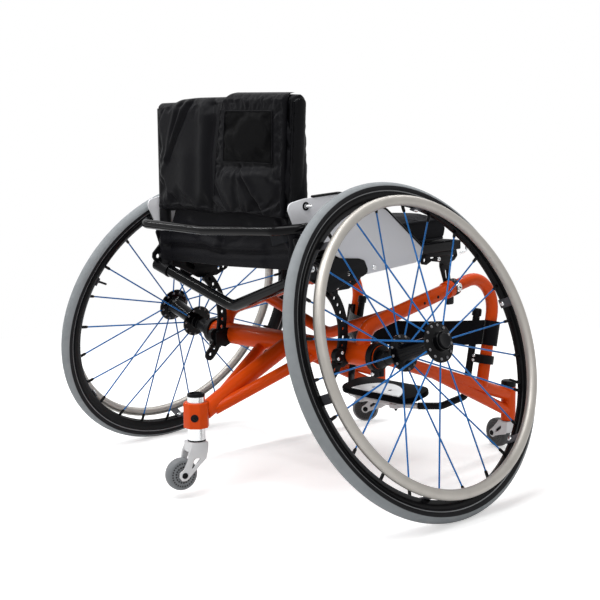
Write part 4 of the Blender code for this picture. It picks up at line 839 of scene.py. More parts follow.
def caster(name, trail, cheek, bridge, hole, hub_radius, radius, tread, core):
    """A fork of two cheeks and a bridge, its wheel and its cross bolt."""
    swivel = Vector(joints[f"caster_{name}_swivel"]["pos_m"])
    roll = Vector(joints[f"caster_{name}_roll"]["pos_m"])
    ahead = (roll - swivel) * Vector((1, 1, 0))
    turn = math.atan2(ahead.y, ahead.x)
    pivot = at(swivel.x, swivel.y - AXLE_Y) @ Matrix.Rotation(turn, 4, "Z")
    axle = pivot @ at(trail, 0, roll.z) @ STAND

    def on_face(shape, wing, out):
        """A shape that stands on one side of the caster, out from its middle."""
        return placed(shape, axle @ facing((0, 0, wing * out), (0, 0, wing)))

    cheeks = []
    for wing in (1, -1):
        arm = plate(outline_of(cheek, 0.0022), 0.005, [hole], 0.0016)
        cheeks.append(placed(arm, pivot @ at(0, wing * 0.0148) @ STAND))
        boss = [(0, 0.0012), (0.0068, 0.0012), (0.0082, 0.0006), (0.009, -0.001), (0, -0.001)]
        cheeks.append(on_face(turned(boss, 32), wing, 0.0166))
    web = placed(plate(outline_of(bridge, 0.002), 0.029, (), 0.0012), pivot @ STAND)
    settle(
        f"caster_fork_cast_{name}", gathered(*cheeks, web), CAST_GREY, "swivel_" + name,
        ["caster_fork_" + name],
    )
    heads = [on_face(bolt(0.0058, 0.0024, 0.55), wing, 0.0174) for wing in (1, -1)]
    settle("caster_bolt_" + name, gathered(*heads), SATIN_BLACK, "swivel_" + name)
    half = 0.011
    half_roller = [
        (0.0046, half - 0.0006),
        (hub_radius - 0.001, half - 0.0006),
        (hub_radius, half - 0.0016),
        (hub_radius + 0.0012, half - 0.0016),
        (hub_radius + 0.0022, half - 0.0002),
        (radius - 0.0052, half),
        (radius - 0.0026, half - 0.0012),
        (radius - 0.0008, half - 0.004),
        (radius, half - 0.0075),
    ]
    roller = turned(mirrored(half_roller), 72, ring=True)
    settle(
        "caster_roller_" + name,
        placed(roller, axle),
        roller_rubber(name, tread, core, axle),
        "caster_" + name,
        ["caster_wheel_" + name],
    )
    bearings = [on_face(washer(0.0085, 0.0046, 0.0009), wing, half - 0.0009) for wing in (1, -1)]
    settle("caster_bearing_" + name, gathered(*bearings), CHROME, "caster_" + name)


FRONT_CHEEK = [
    (-0.016, 0.063), (-0.016, 0.042), (-0.008, 0.035), (0.0235, 0.0262), (0.029, 0.022),
    (0.0365, 0.0225), (0.0412, 0.029), (0.0395, 0.037), (0.0335, 0.0405), (0.014, 0.06),
    (0.0135, 0.063),
]
FRONT_BRIDGE = [
    (-0.016, 0.0385), (-0.005, 0.0385), (0.006, 0.056), (0.0135, 0.063), (-0.016, 0.063),
]
for hand, tread, core in (
    ("left", (0.26, 0.26, 0.27), (0.012, 0.012, 0.013)),
    ("right", (0.03, 0.031, 0.033), (0.05, 0.05, 0.052)),
):
    window = slot_hole((0.006, 0.048), (0.018, 0.039), 0.003)
    caster(hand, 0.032, FRONT_CHEEK, FRONT_BRIDGE, window, 0.0165, 0.031, tread, core)
caster(
    "rear",
    0.033,
    [
        (-0.016, 0.1034), (-0.016, 0.096), (-0.0145, 0.084), (-0.0115, 0.072), (0.002, 0.06),
        (0.0245, 0.038), (0.03, 0.0345), (0.038, 0.035), (0.0435, 0.042), (0.0425, 0.05),
        (0.0345, 0.056), (0.0262, 0.071), (0.024, 0.085), (0.0185, 0.096), (0.018, 0.1034),
    ],
    [(-0.0155, 0.0845), (0.0215, 0.0845), (0.018, 0.1034), (-0.016, 0.1034)],
    outline_of([(-0.0005, 0.0735), (0.0195, 0.0525), (0.013, 0.0735)], 0.0012, 3),
    0.0085,
    0.03,
    (0.19, 0.2, 0.21), (0.17, 0.18, 0.19),
)
for hand, side in SIDES:
    dust_cap = turned(
        [
            (0, 0.15), (0.0118, 0.15), (0.0148, 0.1486), (0.0158, 0.1462), (0.0158, 0.1372),
            (0.015, 0.1362), (0, 0.1362),
        ]
    )
    settle("housing_cap_" + hand, placed(dust_cap, at(side * HOUSING_X, HOUSING_Y)), SATIN_BLACK)
    collar = placed(washer(0.0152, 0.007, 0.001), at(side * HOUSING_X, HOUSING_Y, 0.063))
    settle("housing_seal_" + hand, collar, SATIN_BLACK)


# Seat frame
# Black rails on front posts and on perforated arcs, which bolt at a chosen hole to set the seat's
# height and tilt. Laser-cut brackets with long holes tie rails, arcs and back together.

SEAT_SLOPE = math.radians(2.5)
SEAT_TURN = Matrix.Rotation(-SEAT_SLOPE, 4, "X")
SIDE_VIEW = Matrix(((0, 0, 1), (1, 0, 0), (0, 1, 0))).to_4x4()


def seat_z(y):
    """The sloping line of the rails' upper faces."""
    return 0.4565 - math.tan(SEAT_SLOPE) * (y + 0.292)


def side_plate(x, outline, thickness, holes=(), ease=0.0006):
    return placed(plate(outline, thickness, holes, ease), at(x) @ SIDE_VIEW)


def side_bolt(side, x, y, z, radius, height, socket=0.45):
    return sideways(bolt(radius, height, socket), side, x, y, z)


ARC_MIDDLE = (0.138, 0.3015)
ARC_LINE, ARC_OUTER, ARC_INNER, ARC_HALF_WIDTH = 0.1098, 0.1208, 0.0988, 0.011
ARC_HOLES = 12
RAIL_X = 0.178


def arc_place(radius, turn):
    return (ARC_MIDDLE[0] - radius * math.cos(turn), ARC_MIDDLE[1] + radius * math.sin(turn))


half_arc = math.radians(49.5)
arc_end = half_arc * 0.94
arc_turns = [arc_end * (step / 12 - 1) for step in range(25)]
arc_outline = [arc_place(ARC_OUTER, turn) for turn in arc_turns]
for end in (1, -1):
    tip = arc_place(ARC_LINE, end * arc_end)
    heading = math.atan2(tip[1] - ARC_MIDDLE[1], tip[0] - ARC_MIDDLE[0])
    for step in range(1, 8):
        turn = heading + (0 if end > 0 else math.pi) - math.pi * step / 8
        arc_outline.append(on_circle(tip, ARC_HALF_WIDTH, turn))
    if end > 0:
        arc_outline += [arc_place(ARC_INNER, turn) for turn in reversed(arc_turns)]
hole_turns = [2 * half_arc / ARC_HOLES * (hole + 0.5) - half_arc for hole in range(ARC_HOLES)]
arc_holes = [circle(arc_place(ARC_LINE, turn), 0.0036) for turn in hole_turns]
BRACKET = [
    (-0.008, 0.411), (0.003, 0.396), (0.03, 0.384), (0.076, 0.382), (0.125, 0.406), (0.142, 0.41),
    (0.142, 0.44), (0.1, 0.442), (0.01, 0.436),
]
LOBES = [
    (-0.18, 0.4345), (-0.176, 0.424), (-0.18, 0.414), (-0.192, 0.412), (-0.206, 0.4185),
    (-0.232, 0.415), (-0.244, 0.408), (-0.262, 0.412), (-0.276, 0.4165), (-0.285, 0.425),
    (-0.282, 0.4385),
]
LOBE_HOLES = [
    circle((-0.1875, 0.4215), 0.004),
    circle((-0.273, 0.427), 0.004),
    slot_hole((-0.206, 0.426), (-0.214, 0.4265), 0.0028),
]
BLADE = [
    (-0.268, 0.42), (-0.2665, 0.395), (-0.271, 0.375), (-0.28, 0.34), (-0.28, 0.327),
    (-0.26, 0.327), (-0.2575, 0.341), (-0.2515, 0.376), (-0.24, 0.405), (-0.24, 0.42),
]
for hand, side in SIDES:
    rail = box((0.025, 0.41, 0.0185), 0.0025, 4)
    placed(rail, at(side * RAIL_X, -0.087, seat_z(-0.087) - 0.00925) @ SEAT_TURN)
    settle("seat_rail_black_" + hand, rail, SATIN_BLACK, stands_for=["seat_rail_" + hand])
    arc = side_plate(side * RAIL_X, arc_outline, 0.005, arc_holes)
    lug_outline = outline_of(
        [(0, 0.248), (0.026, 0.236), (0.05, 0.242), (0.05, 0.268), (0.03, 0.276), (0, 0.274)], 0.004
    )
    lug = side_plate(side * 0.1735, lug_outline, 0.006)
    boss = turned([(0, 0.011), (0.0118, 0.011), (0.013, 0.0098), (0.013, 0), (0, 0)], 40)
    sideways(boss, side, RAIL_X, 0.046, 0.262)
    settle("height_arc_" + hand, gathered(arc, lug, boss), SATIN_BLACK, stands_for=["seat_arc_" + hand])
    boss_bolts = [
        side_bolt(side, 0.189, y, z, 0.0034, 0.0022)
        for y, z in ((0.041, 0.267), (0.051, 0.257))
    ]
    settle("arc_bolts_" + hand, gathered(*boss_bolts), CHROME)

    bracket = side_plate(
        side * 0.1933,
        outline_of(BRACKET, 0.006),
        0.005,
        [
            circle((0.0235, 0.3985), 0.0038),
            circle((0.011, 0.4005), 0.0034),
            slot_hole((0.09, 0.406), (0.104, 0.413), 0.005),
        ],
    )
    spacer = sideways(eased_rod(0.007, 0.1808, 0.193), side, 0, *arc_place(ARC_LINE, hole_turns[-1]))
    settle(
        "seat_bracket_cut_" + hand,
        gathered(bracket, spacer),
        SATIN_BLACK,
        stands_for=["seat_bracket_" + hand],
    )
    bracket_bolts = [
        side_bolt(side, 0.1958, y, z, 0.005, 0.003)
        for y, z in ((0.061, 0.39), (0.0325, 0.412), (0.1125, 0.425))
    ]
    settle("bracket_bolts_" + hand, gathered(*bracket_bolts), CHROME)

    lobes = side_plate(side * 0.185, outline_of(LOBES, 0.0035), 0.005, LOBE_HOLES, 0.0008)
    blade = side_plate(
        side * 0.18,
        outline_of(BLADE, 0.004),
        0.006,
        [slot_hole((-0.259, 0.382), (-0.2565, 0.396), 0.0033)],
        0.0012,
    )
    saddle = box((0.023, 0.09, 0.01), 0.003, 4)
    placed(saddle, at(side * RAIL_X, -0.23, seat_z(-0.23) - 0.0225))
    arm = sideways(eased_rod(0.006, 0.1725, 0.1785), side, 0, *side_point(side, -0.268).yz)
    post = gathered(lobes, blade, arm, saddle)
    settle("seat_post_black_" + hand, post, SATIN_BLACK, stands_for=["seat_post_" + hand])
    settle("lobe_bolt_" + hand, side_bolt(side, 0.187, -0.2275, 0.4215, 0.0046, 0.003), CHROME)
    sleeve_ring = [side_point(side, y) for y in (-0.266, -0.253)]
    settle("sleeve_ring_" + hand, bar(sleeve_ring, 0.0172, 40), SATIN_BLACK)
    knob = gathered(
        side_bolt(side, 0.21, -0.262, 0.3645, 0.0092, 0.003, 0.62),
        side_bolt(side, 0.211, -0.262, 0.3645, 0.0052, 0.004, 0.4),
    )
    settle("sleeve_bolt_" + hand, knob, CHROME)
    tube_screws = [
        side_bolt(side, point.x + 0.0136, point.y, point.z, 0.003, 0.0012)
        for point in (side_point(1, -0.16), side_point(1, -0.2))
    ]
    settle("side_tube_screws_" + hand, gathered(*tube_screws), SATIN_BLACK)
    hook_route = bent(
        [
            Vector((side * 0.1905, -0.29, 0.4545)),
            Vector((side * 0.1965, -0.301, 0.45)),
            Vector((side * 0.1965, -0.301, 0.4345)),
            Vector((side * 0.1905, -0.288, 0.4295)),
        ],
        0.004,
    )
    settle("rail_hook_" + hand, bar(hook_route, 0.0026, 12), CHROME)


# Back
# Two posts on bolted plates, tied by a V bar below the seat's rear and by a glossy bar that runs
# round behind the back. Side guards of light grey sheet keep clothes off the wheels.

PLATE = [
    (-0.005, 0.055), (0.018, 0.055), (0.008, 0.027), (0.025, 0.01), (0.026, 0.001), (0.02, -0.008),
    (-0.003, -0.016), (-0.033, -0.02), (-0.036, -0.014), (-0.036, 0.006), (-0.012, 0.018),
]
V_HALF = 0.213
V_LOW, V_END = Vector((0, 0.1423, 0.3454)), Vector((V_HALF, 0.1613, 0.4146))
POST_X, POST_Y = 0.192, 0.155
PLATE_Z = 0.428
GUARD_X = 0.2065


def v_place(side, x):
    point = V_LOW.lerp(V_END, x / V_HALF)
    return Vector((side * x, point.y, point.z))


v_route = bent([v_place(1, V_HALF), V_LOW, v_place(-1, V_HALF)], 0.05, 16)
settle("v_bar_gloss", bar(v_route, 0.0108, 32), GLOSS_BLACK, stands_for=["seat_cross_bar"])
for hand, side in SIDES:
    grip = gathered(
        bar([v_place(side, 0.178), v_place(side, 0.2145)], 0.0127, 32),
        bar([v_place(side, 0.176), v_place(side, 0.1795)], 0.0134, 32),
    )
    settle("v_bar_sleeve_" + hand, grip, SATIN_BLACK)
    post = bar([Vector((side * POST_X, POST_Y, z)) for z in (0.409, 0.72)], 0.0115, 32)
    plate_outline = outline_of([(y + POST_Y, z + PLATE_Z) for y, z in PLATE], 0.0045)
    post_plate = side_plate(side * 0.2035, plate_outline, 0.004, [circle((0.168, 0.431), 0.0045)])
    settle(
        "back_post_black_" + hand,
        gathered(post, post_plate),
        SATIN_BLACK,
        stands_for=["back_post_" + hand],
    )
    ring = sideways(washer(0.0078, 0.0046, 0.0008), side, 0.2055, 0.168, 0.431)
    settle("plate_hole_ring_" + hand, ring, SATIN_BLACK)
    settle("post_bolt_" + hand, side_bolt(side, 0.2055, 0.131, PLATE_Z, 0.0062, 0.0038), CHROME)
    spacer = sideways(eased_rod(0.006, 0.196, 0.203), side, 0, 0.131, PLATE_Z)
    settle("post_spacer_" + hand, spacer, SATIN_BLACK)

half_bar = [(0, 0.21, 0.4915), (0.19, 0.2035, 0.497), (0.228, 0.172, 0.501), (0.228, 0.14, 0.502)]
bar_points = half_bar[:0:-1] + [(-x, y, z) for x, y, z in half_bar]
back_bar = bar(bent(bar_points, 0.03, 16), 0.009, 40)
settle("back_bar_gloss", back_bar, GLOSS_BLACK, stands_for=["back_bar"])


def guard_paint():
    """Light grey sheet with a satin lacquer and a faint brushed grain along it."""
    paint = Finish("side_guard_grey", "light_grey_guard", Specular_IOR_Level=0.3)
    where = paint.places()
    grain = paint.noise(paint.places(size=(1, 4, 0.25)), 500.0, 2.0)
    cloud = paint.noise(where, 7.0, 3.0)
    return paint.shade(
        Base_Color=paint.mix(cloud, (0.88, 0.88, 0.91), (0.8, 0.8, 0.83)),
        Roughness=0.36 + 0.1 * grain,
        Normal=paint.bump(grain, 0.00004, 0.2),
    )


GUARD_GREY = guard_paint()
GUARD = [
    (0.17, 0.496), (0.192, 0.542), (0.151, 0.551), (0.062, 0.558), (-0.054, 0.527),
    (-0.165, 0.443), (-0.14, 0.422), (-0.004, 0.409),
]
GUARD_FOOT = [
    (0.108, 0.446), (0.0171, 0.4395), (0.003, 0.435), (-0.005, 0.419), (-0.004, 0.411),
    (0.0085, 0.406), (0.0479, 0.398), (0.088, 0.383), (0.11, 0.391),
]
for hand, side in SIDES:
    guard = side_plate(side * GUARD_X, outline_of(GUARD, 0.012, 8), 0.003, (), 0.0008)
    settle("side_guard_sheet_" + hand, guard, GUARD_GREY, stands_for=["side_guard_" + hand])
    spacers = [
        sideways(eased_rod(0.006, 0.191, 0.2055), side, 0, -0.017, 0.424),
        sideways(eased_rod(0.005, 0.203, 0.2055), side, 0, POST_Y, 0.502),
        sideways(eased_rod(0.0078, 0.2083, 0.226), side, 0, 0.146, 0.502),
    ]
    settle("guard_spacers_" + hand, gathered(*spacers), SATIN_BLACK)
    trim_route = bent(
        [
            Vector((side * GUARD_X, y, z))
            for y, z in ((0.13, 0.554), (0.062, 0.5592), (-0.054, 0.5282), (-0.16, 0.448))
        ],
        0.05,
    )
    settle("guard_trim_" + hand, bar(trim_route, 0.0026, 12), SATIN_BLACK)
    foot_hole = circle((0.0405, 0.414), 0.0065)
    foot = side_plate(side * 0.2092, outline_of(GUARD_FOOT, 0.007), 0.0022, [foot_hole], 0.0008)
    settle("guard_foot_plate_" + hand, foot, SATIN_BLACK)
    rivets = gathered(
        side_bolt(side, 0.208, -0.0235, 0.4205, 0.0055, 0.0022, 0.3),
        side_bolt(side, 0.208, 0.1, 0.444, 0.0045, 0.0018, 0.3),
    )
    settle("guard_rivets_" + hand, rivets, CHROME)
    eyelet = sideways(washer(0.0075, 0.0042, 0.0014), side, 0.2079, 0.146, 0.538)
    settle("guard_eyelet_" + hand, eyelet, SATIN_BLACK)
    pin_route = [Vector((side * 0.205, 0.146, 0.538)), Vector((side * 0.218, 0.14, 0.538))]
    settle("guard_pin_" + hand, bar(pin_route, 0.003, 16), CHROME)


# Footrest
# Bent black posts clamped beside the front loops' legs carry a grey bar and a moulded plate with a
# silver half-moon insert screwed onto it.

FOOT_TILT = math.radians(11)
STEP_Z, STEP_THICKNESS = 0.1235, 0.012
FOOT_BAR_RADIUS = 0.0065
FOOT_BAR_END = (0.098, -0.268)
foot_turn = Matrix.Rotation(math.pi, 4, "Z") @ Matrix.Rotation(FOOT_TILT, 4, "X")
foot_place = at(0, -0.235, STEP_Z) @ foot_turn
under = (STEP_THICKNESS + 0.0003 + FOOT_BAR_RADIUS) / math.cos(FOOT_TILT)
FOOT_BAR_Z = STEP_Z + 0.015 * math.tan(FOOT_TILT) - under
LEG_TURN = Matrix.Rotation(math.atan(LEG_RAKE), 4, "X")
for hand, side in SIDES:
    top = Vector((side * 0.167, loop_y(0.299) + 0.014, 0.299))
    corner = Vector((side * 0.167, loop_y(0.128) + 0.014, 0.128))
    arm_end = Vector((side * FOOT_BAR_END[0], FOOT_BAR_END[1], FOOT_BAR_Z))
    knee = corner.lerp(arm_end, 0.5)
    knee.z = FOOT_BAR_Z
    post_route = bent([top, corner, knee, arm_end], 0.012)
    section = at(*frame_point(side, loop_y(0.205), 0.205)) @ LEG_TURN
    collar = turned(mirrored([(0.0126, 0.009), (0.0166, 0.009), (0.0175, 0.008)]), 48, ring=True)
    block = placed(box((0.034, 0.022, 0.018), 0.003, 4), at(-side * 0.016, 0.0075))
    clamp = placed(gathered(collar, block), section)
    post = gathered(bar(post_route, 0.0075), clamp)
    settle("foot_post_black_" + hand, post, SATIN_BLACK, stands_for=["foot_post_" + hand])
    cap = turned(
        [(0, 0.01), (0.007, 0.0098), (0.0092, 0.008), (0.0098, 0.005), (0.0098, -0.006), (0, -0.006)],
        32,
    )
    settle("foot_post_cap_" + hand, placed(cap, facing(top, top - corner)), SATIN_BLACK)
    screws = gathered(*[
        placed(bolt(0.0036, 0.003), section @ facing((-side * 0.016, 0.0182, z), (0, 1, 0)))
        for z in (0.0045, -0.0045)
    ])
    settle("foot_clamp_screws_" + hand, screws, CHROME)

half_route = [FOOT_BAR_END, (0.06, -0.25)]
cross_route = [Vector((x, y, FOOT_BAR_Z)) for x, y in half_route + [(-x, y) for x, y in half_route[::-1]]]
settle("foot_bar_grey", bar(bent(cross_route, 0.02), FOOT_BAR_RADIUS), CAST_GREY, stands_for=["foot_bar"])
step_blocks, tips = [], []
for _, side in SIDES:
    spot = (side * 0.05, -0.252)
    step_blocks.append(placed(box((0.02, 0.022, 0.01), 0.002), at(*spot, FOOT_BAR_Z - 0.004)))
    tips.append(placed(bolt(0.0032, 0.006, 0.2), facing((*spot, FOOT_BAR_Z - 0.009), (0, 0, -1))))
settle("step_blocks", gathered(*step_blocks), CAST_GREY)
settle("step_bolt_tips", gathered(*tips), SATIN_BLACK)

STEP_BLACK = anodised("step_black", (0.0022, 0.0022, 0.0026), 0.45, 600.0, 0.02)
foot_outline = outline_of([(0.1, 0), (0.1, 0.083), (-0.112, 0.083), (-0.112, 0)], 0.03, 12)
step = placed(plate(foot_outline, STEP_THICKNESS, (), 0.003), foot_place @ at(z=-STEP_THICKNESS / 2))
settle("footplate_moulded", step, STEP_BLACK, stands_for=["footplate"])
MOON_EDGE, MOON_SAG, MOON_HALF = 0.006, 0.053, 0.07
moon_radius = (MOON_HALF**2 + MOON_SAG**2) / (2 * MOON_SAG)
moon_turns = [math.asin(MOON_HALF / moon_radius) * (1 - step / 16) for step in range(33)]
moon = [
    (moon_radius * math.sin(turn), MOON_EDGE + MOON_SAG - moon_radius * (1 - math.cos(turn)))
    for turn in moon_turns
]
MOON_SILVER = bright_metal("moon_silver", "polished_aluminium", (0.82, 0.83, 0.84), 0.34)
moon_holes = [circle((side * 0.0245, 0.0272), 0.004) for _, side in SIDES]
half_moon = placed(plate(moon, 0.0025, moon_holes, 0.0007), foot_place @ at(z=0.00155))
settle("footplate_half_moon", half_moon, MOON_SILVER, stands_for=["footplate_insert"])


# Padded back
# A leather cover over foam wraps both back posts. On the rear a flap comes over the top edge, with
# a plain stitched patch, and the cover is drawn into a soft glossy wing at the right post.


def leather(name, slot, colour, rough, grain=520.0, shine=0.055):
    """Black hide: a pebbled grain, soft creasing and a patchy sheen."""
    hide = Finish(name, slot, Specular_IOR_Level=shine)
    where = hide.places()
    cells = {"feature": "DISTANCE_TO_EDGE"}
    pebble = hide.add("TexVoronoi", cells, {"Vector": where, "Scale": grain}, "Distance")
    crumple = hide.noise(where, 46.0, 5.0, 0.6)
    cloud = hide.noise(where, 11.0, 3.0)
    height = 0.3 * pebble.above(0.1, 0.16) + 1.6 * crumple
    lighter = tuple(1.9 * part for part in colour)
    return hide.shade(
        Base_Color=hide.mix(cloud, colour, lighter),
        Roughness=rough + 0.16 * cloud,
        Normal=hide.bump(height, 0.001, 0.35),
    )


BACK_LEATHER = leather("back_leather", "black_leather", (0.0032, 0.0032, 0.004), 0.36)
WING_LEATHER = leather("wing_leather", "black_leather", (0.0028, 0.0028, 0.0034), 0.18)
PATCH_LEATHER = leather("patch_leather", "black_leather", (0.0012, 0.0012, 0.0014), 0.42, 900.0, 0.03)


def crowded(share):
    """A grid line's place from -1 to 1, with the lines drawn together near the rims."""
    return (share + math.sin(math.pi / 2 * share)) / 2


def pillow(columns, rows, place):
    """A closed pad. place(across, along, layer) is a point of its back (-1) or its front (1)."""
    shape = bmesh.new()
    bmesh.ops.create_grid(shape, x_segments=columns, y_segments=rows, size=1.0)
    front = shape.verts[:]
    whole = shape.verts[:] + shape.edges[:] + shape.faces[:]
    copy = bmesh.ops.duplicate(shape, geom=whole)["geom"]
    back = [part for part in copy if isinstance(part, bmesh.types.BMVert)]
    back_faces = [part for part in copy if isinstance(part, bmesh.types.BMFace)]
    bmesh.ops.reverse_faces(shape, faces=back_faces)
    for layer, skin in ((1, front), (-1, back)):
        for vertex in skin:
            across, along = vertex.co.xy
            vertex.co = place(crowded(across), crowded(along), layer)
    bmesh.ops.remove_doubles(shape, verts=shape.verts, dist=0.00002)
    if shape.calc_volume(signed=True) < 0:
        bmesh.ops.reverse_faces(shape, faces=shape.faces)
    return shape


def swollen(shape, seam, pressure=4.0, growth=0.04, cap=0.01, frames=20):
    """The pad after a run of cloth under pressure. seam(point) tells where stitches hold it."""
    mesh = bpy.data.meshes.new("swelling")
    shape.to_mesh(mesh)
    pad = bpy.data.objects.new("swelling", mesh)
    bpy.context.scene.collection.objects.link(pad)
    held = pad.vertex_groups.new(name="seams")
    held.add([vertex.index for vertex in mesh.vertices if seam(vertex.co)], 1.0, "REPLACE")
    cloth = pad.modifiers.new("Cloth", "CLOTH")
    cloth.settings.quality = 5
    cloth.settings.vertex_group_mass = held.name
    cloth.settings.use_pressure = True
    cloth.settings.uniform_pressure_force = pressure
    cloth.settings.shrink_min = -growth
    cloth.settings.tension_stiffness = 12
    cloth.settings.compression_stiffness = 12
    cloth.settings.shear_stiffness = 6
    cloth.settings.bending_stiffness = 0.15
    cloth.settings.effector_weights.gravity = 0
    cloth.collision_settings.use_collision = False
    for number in range(1, frames + 1):
        bpy.context.scene.frame_set(number)
    graph = bpy.context.evaluated_depsgraph_get()
    result = bpy.data.meshes.new_from_object(pad.evaluated_get(graph))
    for vertex, moved in zip(shape.verts, result.vertices):
        step = moved.co - vertex.co
        vertex.co += step * min(1.0, cap / max(step.length, 1e-9))
    bpy.data.objects.remove(pad)
    bpy.data.meshes.remove(mesh)
    bpy.data.meshes.remove(result)
    bpy.context.scene.frame_set(1)
    return shape


def away(spot, start, run):
    """How far a spot is from a straight run."""
    reach = max(0.0, min(1.0, (spot - start).dot(run) / run.length_squared))
    return (spot - start - run * reach).length


def creased(shape, lines, through=False):
    """Ridges, or valleys of negative depth, along lines of (points, width, depth) on the rear face."""
    shape.normal_update()
    creases = []
    for points, width, depth in lines:
        points = [Vector(point) for point in points]
        runs = [(start, end - start) for start, end in zip(points, points[1:])]
        creases.append((runs, width, depth))
    for vertex in shape.verts:
        share = 1.0 if through else max(0.0, vertex.normal.y)
        if share < 0.05:
            continue
        spot, push = vertex.co.xz, 0.0
        for runs, width, depth in creases:
            near = min(away(spot, *run) for run in runs)
            push += depth * math.exp(-((near / width) ** 2))
        vertex.co.y += push * share
    return shape


def soft(name, shape, finish, *stands_for):
    """A soft piece, smooth all over, with a finer skin."""
    piece = settle(name, shape, finish, stands_for=stands_for, sharp=180)
    finer = piece.modifiers.new("Subdivision", "SUBSURF")
    finer.levels = finer.render_levels = 1
    return piece


def at_rim(across, along):
    """Tells the points where a piece's two skins meet."""
    return max(abs(across), abs(along)) > 0.999


def between(value, table):
    """A reading between the (key, value) pairs of a table in rising order of key."""
    if value <= table[0][0]:
        return table[0][1]
    for (low, first), (high, second) in zip(table, table[1:]):
        if value <= high:
            return first + (second - first) * (value - low) / (high - low)
    return table[-1][1]


def rounding(distance, radius):
    """How full a round edge is at a distance from its rim, from 0 to 1."""
    share = max(0.0, min(1.0, distance / radius))
    return math.sqrt(1 - (1 - share) ** 2)


BODY_TOP = [
    (-0.205, 0.729), (-0.15, 0.733), (0.0, 0.7345), (0.08, 0.737), (0.125, 0.736), (0.146, 0.731),
    (0.205, 0.732),
]
BODY_BOTTOM = [
    (-0.205, 0.516), (-0.17, 0.5165), (-0.07, 0.5235), (0.03, 0.5185), (0.125, 0.5225),
    (0.18, 0.5205), (0.205, 0.5175),
]


def body_point(across, along, layer):
    """The main pad, round over both posts and a little deeper and wider at its foot."""
    foot = (1 - along) / 2
    half = 0.2015 + 0.005 * foot
    x = across * half
    top, bottom = between(x, BODY_TOP), between(x, BODY_BOTTOM)
    z = (top + bottom) / 2 + along * (top - bottom) / 2
    deep = 0.0195 + 0.0015 * foot
    end = (1 - abs(along)) * (top - bottom) / 2
    reach = rounding(half - abs(x), deep) * rounding(end, 0.012)
    return Vector((x, 0.149 - 0.001 * foot + layer * deep * reach, z))


def body_seam(point):
    channel = point.y < 0.149 and min(abs(abs(point.x) - 0.068), abs(abs(point.x) - 0.15)) < 0.003
    return channel or abs(point.x) > 0.1975 or point.z > 0.7245 or point.z < 0.5245


body = swollen(pillow(104, 56, body_point), body_seam, pressure=3.0, growth=0.05, cap=0.006)
creased(
    body,
    [
        ([(0.08, 0.732), (0.1, 0.7), (0.127, 0.664), (0.154, 0.6185)], 0.0035, -0.0075),
        ([(0.092, 0.732), (0.112, 0.698), (0.136, 0.665), (0.16, 0.622)], 0.006, 0.0055),
        ([(0.112, 0.729), (0.137, 0.672), (0.155, 0.63)], 0.004, -0.0045),
        ([(0.12, 0.731), (0.143, 0.678), (0.157, 0.635)], 0.0045, 0.0022),
        ([(0.154, 0.624), (0.181, 0.593), (0.19, 0.541)], 0.006, 0.0022),
        ([(0.158, 0.64), (0.19, 0.6)], 0.006, -0.0016),
        ([(0.043, 0.73), (0.047, 0.69)], 0.005, 0.002),
        ([(0.062, 0.732), (0.066, 0.7)], 0.004, -0.0014),
        ([(0.021, 0.73), (0.01, 0.69), (0.024, 0.628), (0.022, 0.524)], 0.0065, -0.007),
        ([(0.036, 0.7), (0.043, 0.64), (0.046, 0.56)], 0.014, 0.005),
        ([(0.095, 0.62), (0.1, 0.56)], 0.026, 0.0045),
        ([(0.2, 0.53), (0.125, 0.5335), (0.03, 0.529)], 0.0035, 0.0016),
    ],
)
back_body = soft("back_pad_body", body, BACK_LEATHER, "backrest_cushion")

FLAP_LEFT = [
    (0.516, 0.0135), (0.523, 0.0133), (0.6345, 0.0009), (0.7, -0.012), (0.722, -0.022),
    (0.739, -0.04),
]
FLAP_RIGHT = [(0.516, -0.183), (0.6, -0.186), (0.7, -0.1905), (0.727, -0.1925), (0.737, -0.188)]
FLAP_BOTTOM = [(-0.185, 0.5155), (-0.125, 0.52), (-0.07, 0.524), (0.013, 0.5195)]
FLAP_TOP = [(-0.203, 0.729), (-0.195, 0.7325), (-0.1426, 0.735), (-0.045, 0.7395), (-0.01, 0.739)]


def flap_point(across, along, layer):
    """The rear flap, which comes over the top edge and hangs down behind the pad."""
    guess = 0.6265 + along * 0.11
    left, right = between(guess, FLAP_LEFT), between(guess, FLAP_RIGHT)
    x = (left + right) / 2 + across * (left - right) / 2
    bottom, top = between(x, FLAP_BOTTOM), between(x, FLAP_TOP)
    z = (top + bottom) / 2 + along * (top - bottom) / 2
    reach = rounding((1 - abs(across)) * (left - right) / 2, 0.006) * rounding(z - bottom, 0.004)
    over = max(0.0, z - top + 0.0155) / 0.0155
    fold = 0.02 * (1 - math.sqrt(max(0.0, 1 - over * over)))
    skin = 0.17 if layer < 0 else 0.1715 + 0.008 * reach
    return Vector((x, (0.17 if reach == 0 else skin) - fold, z))


def flap_seam(point):
    left, right = between(point.z, FLAP_LEFT), between(point.z, FLAP_RIGHT)
    rim = min(left - point.x, point.x - right) < 0.0035 or point.z > 0.7275 or point.z < 0.526
    patch = -0.166 < point.x < -0.022 and 0.611 < point.z < 0.707
    inner = -0.158 < point.x < -0.03 and 0.619 < point.z < 0.699
    return rim or (patch and not inner) or point.y < 0.1705


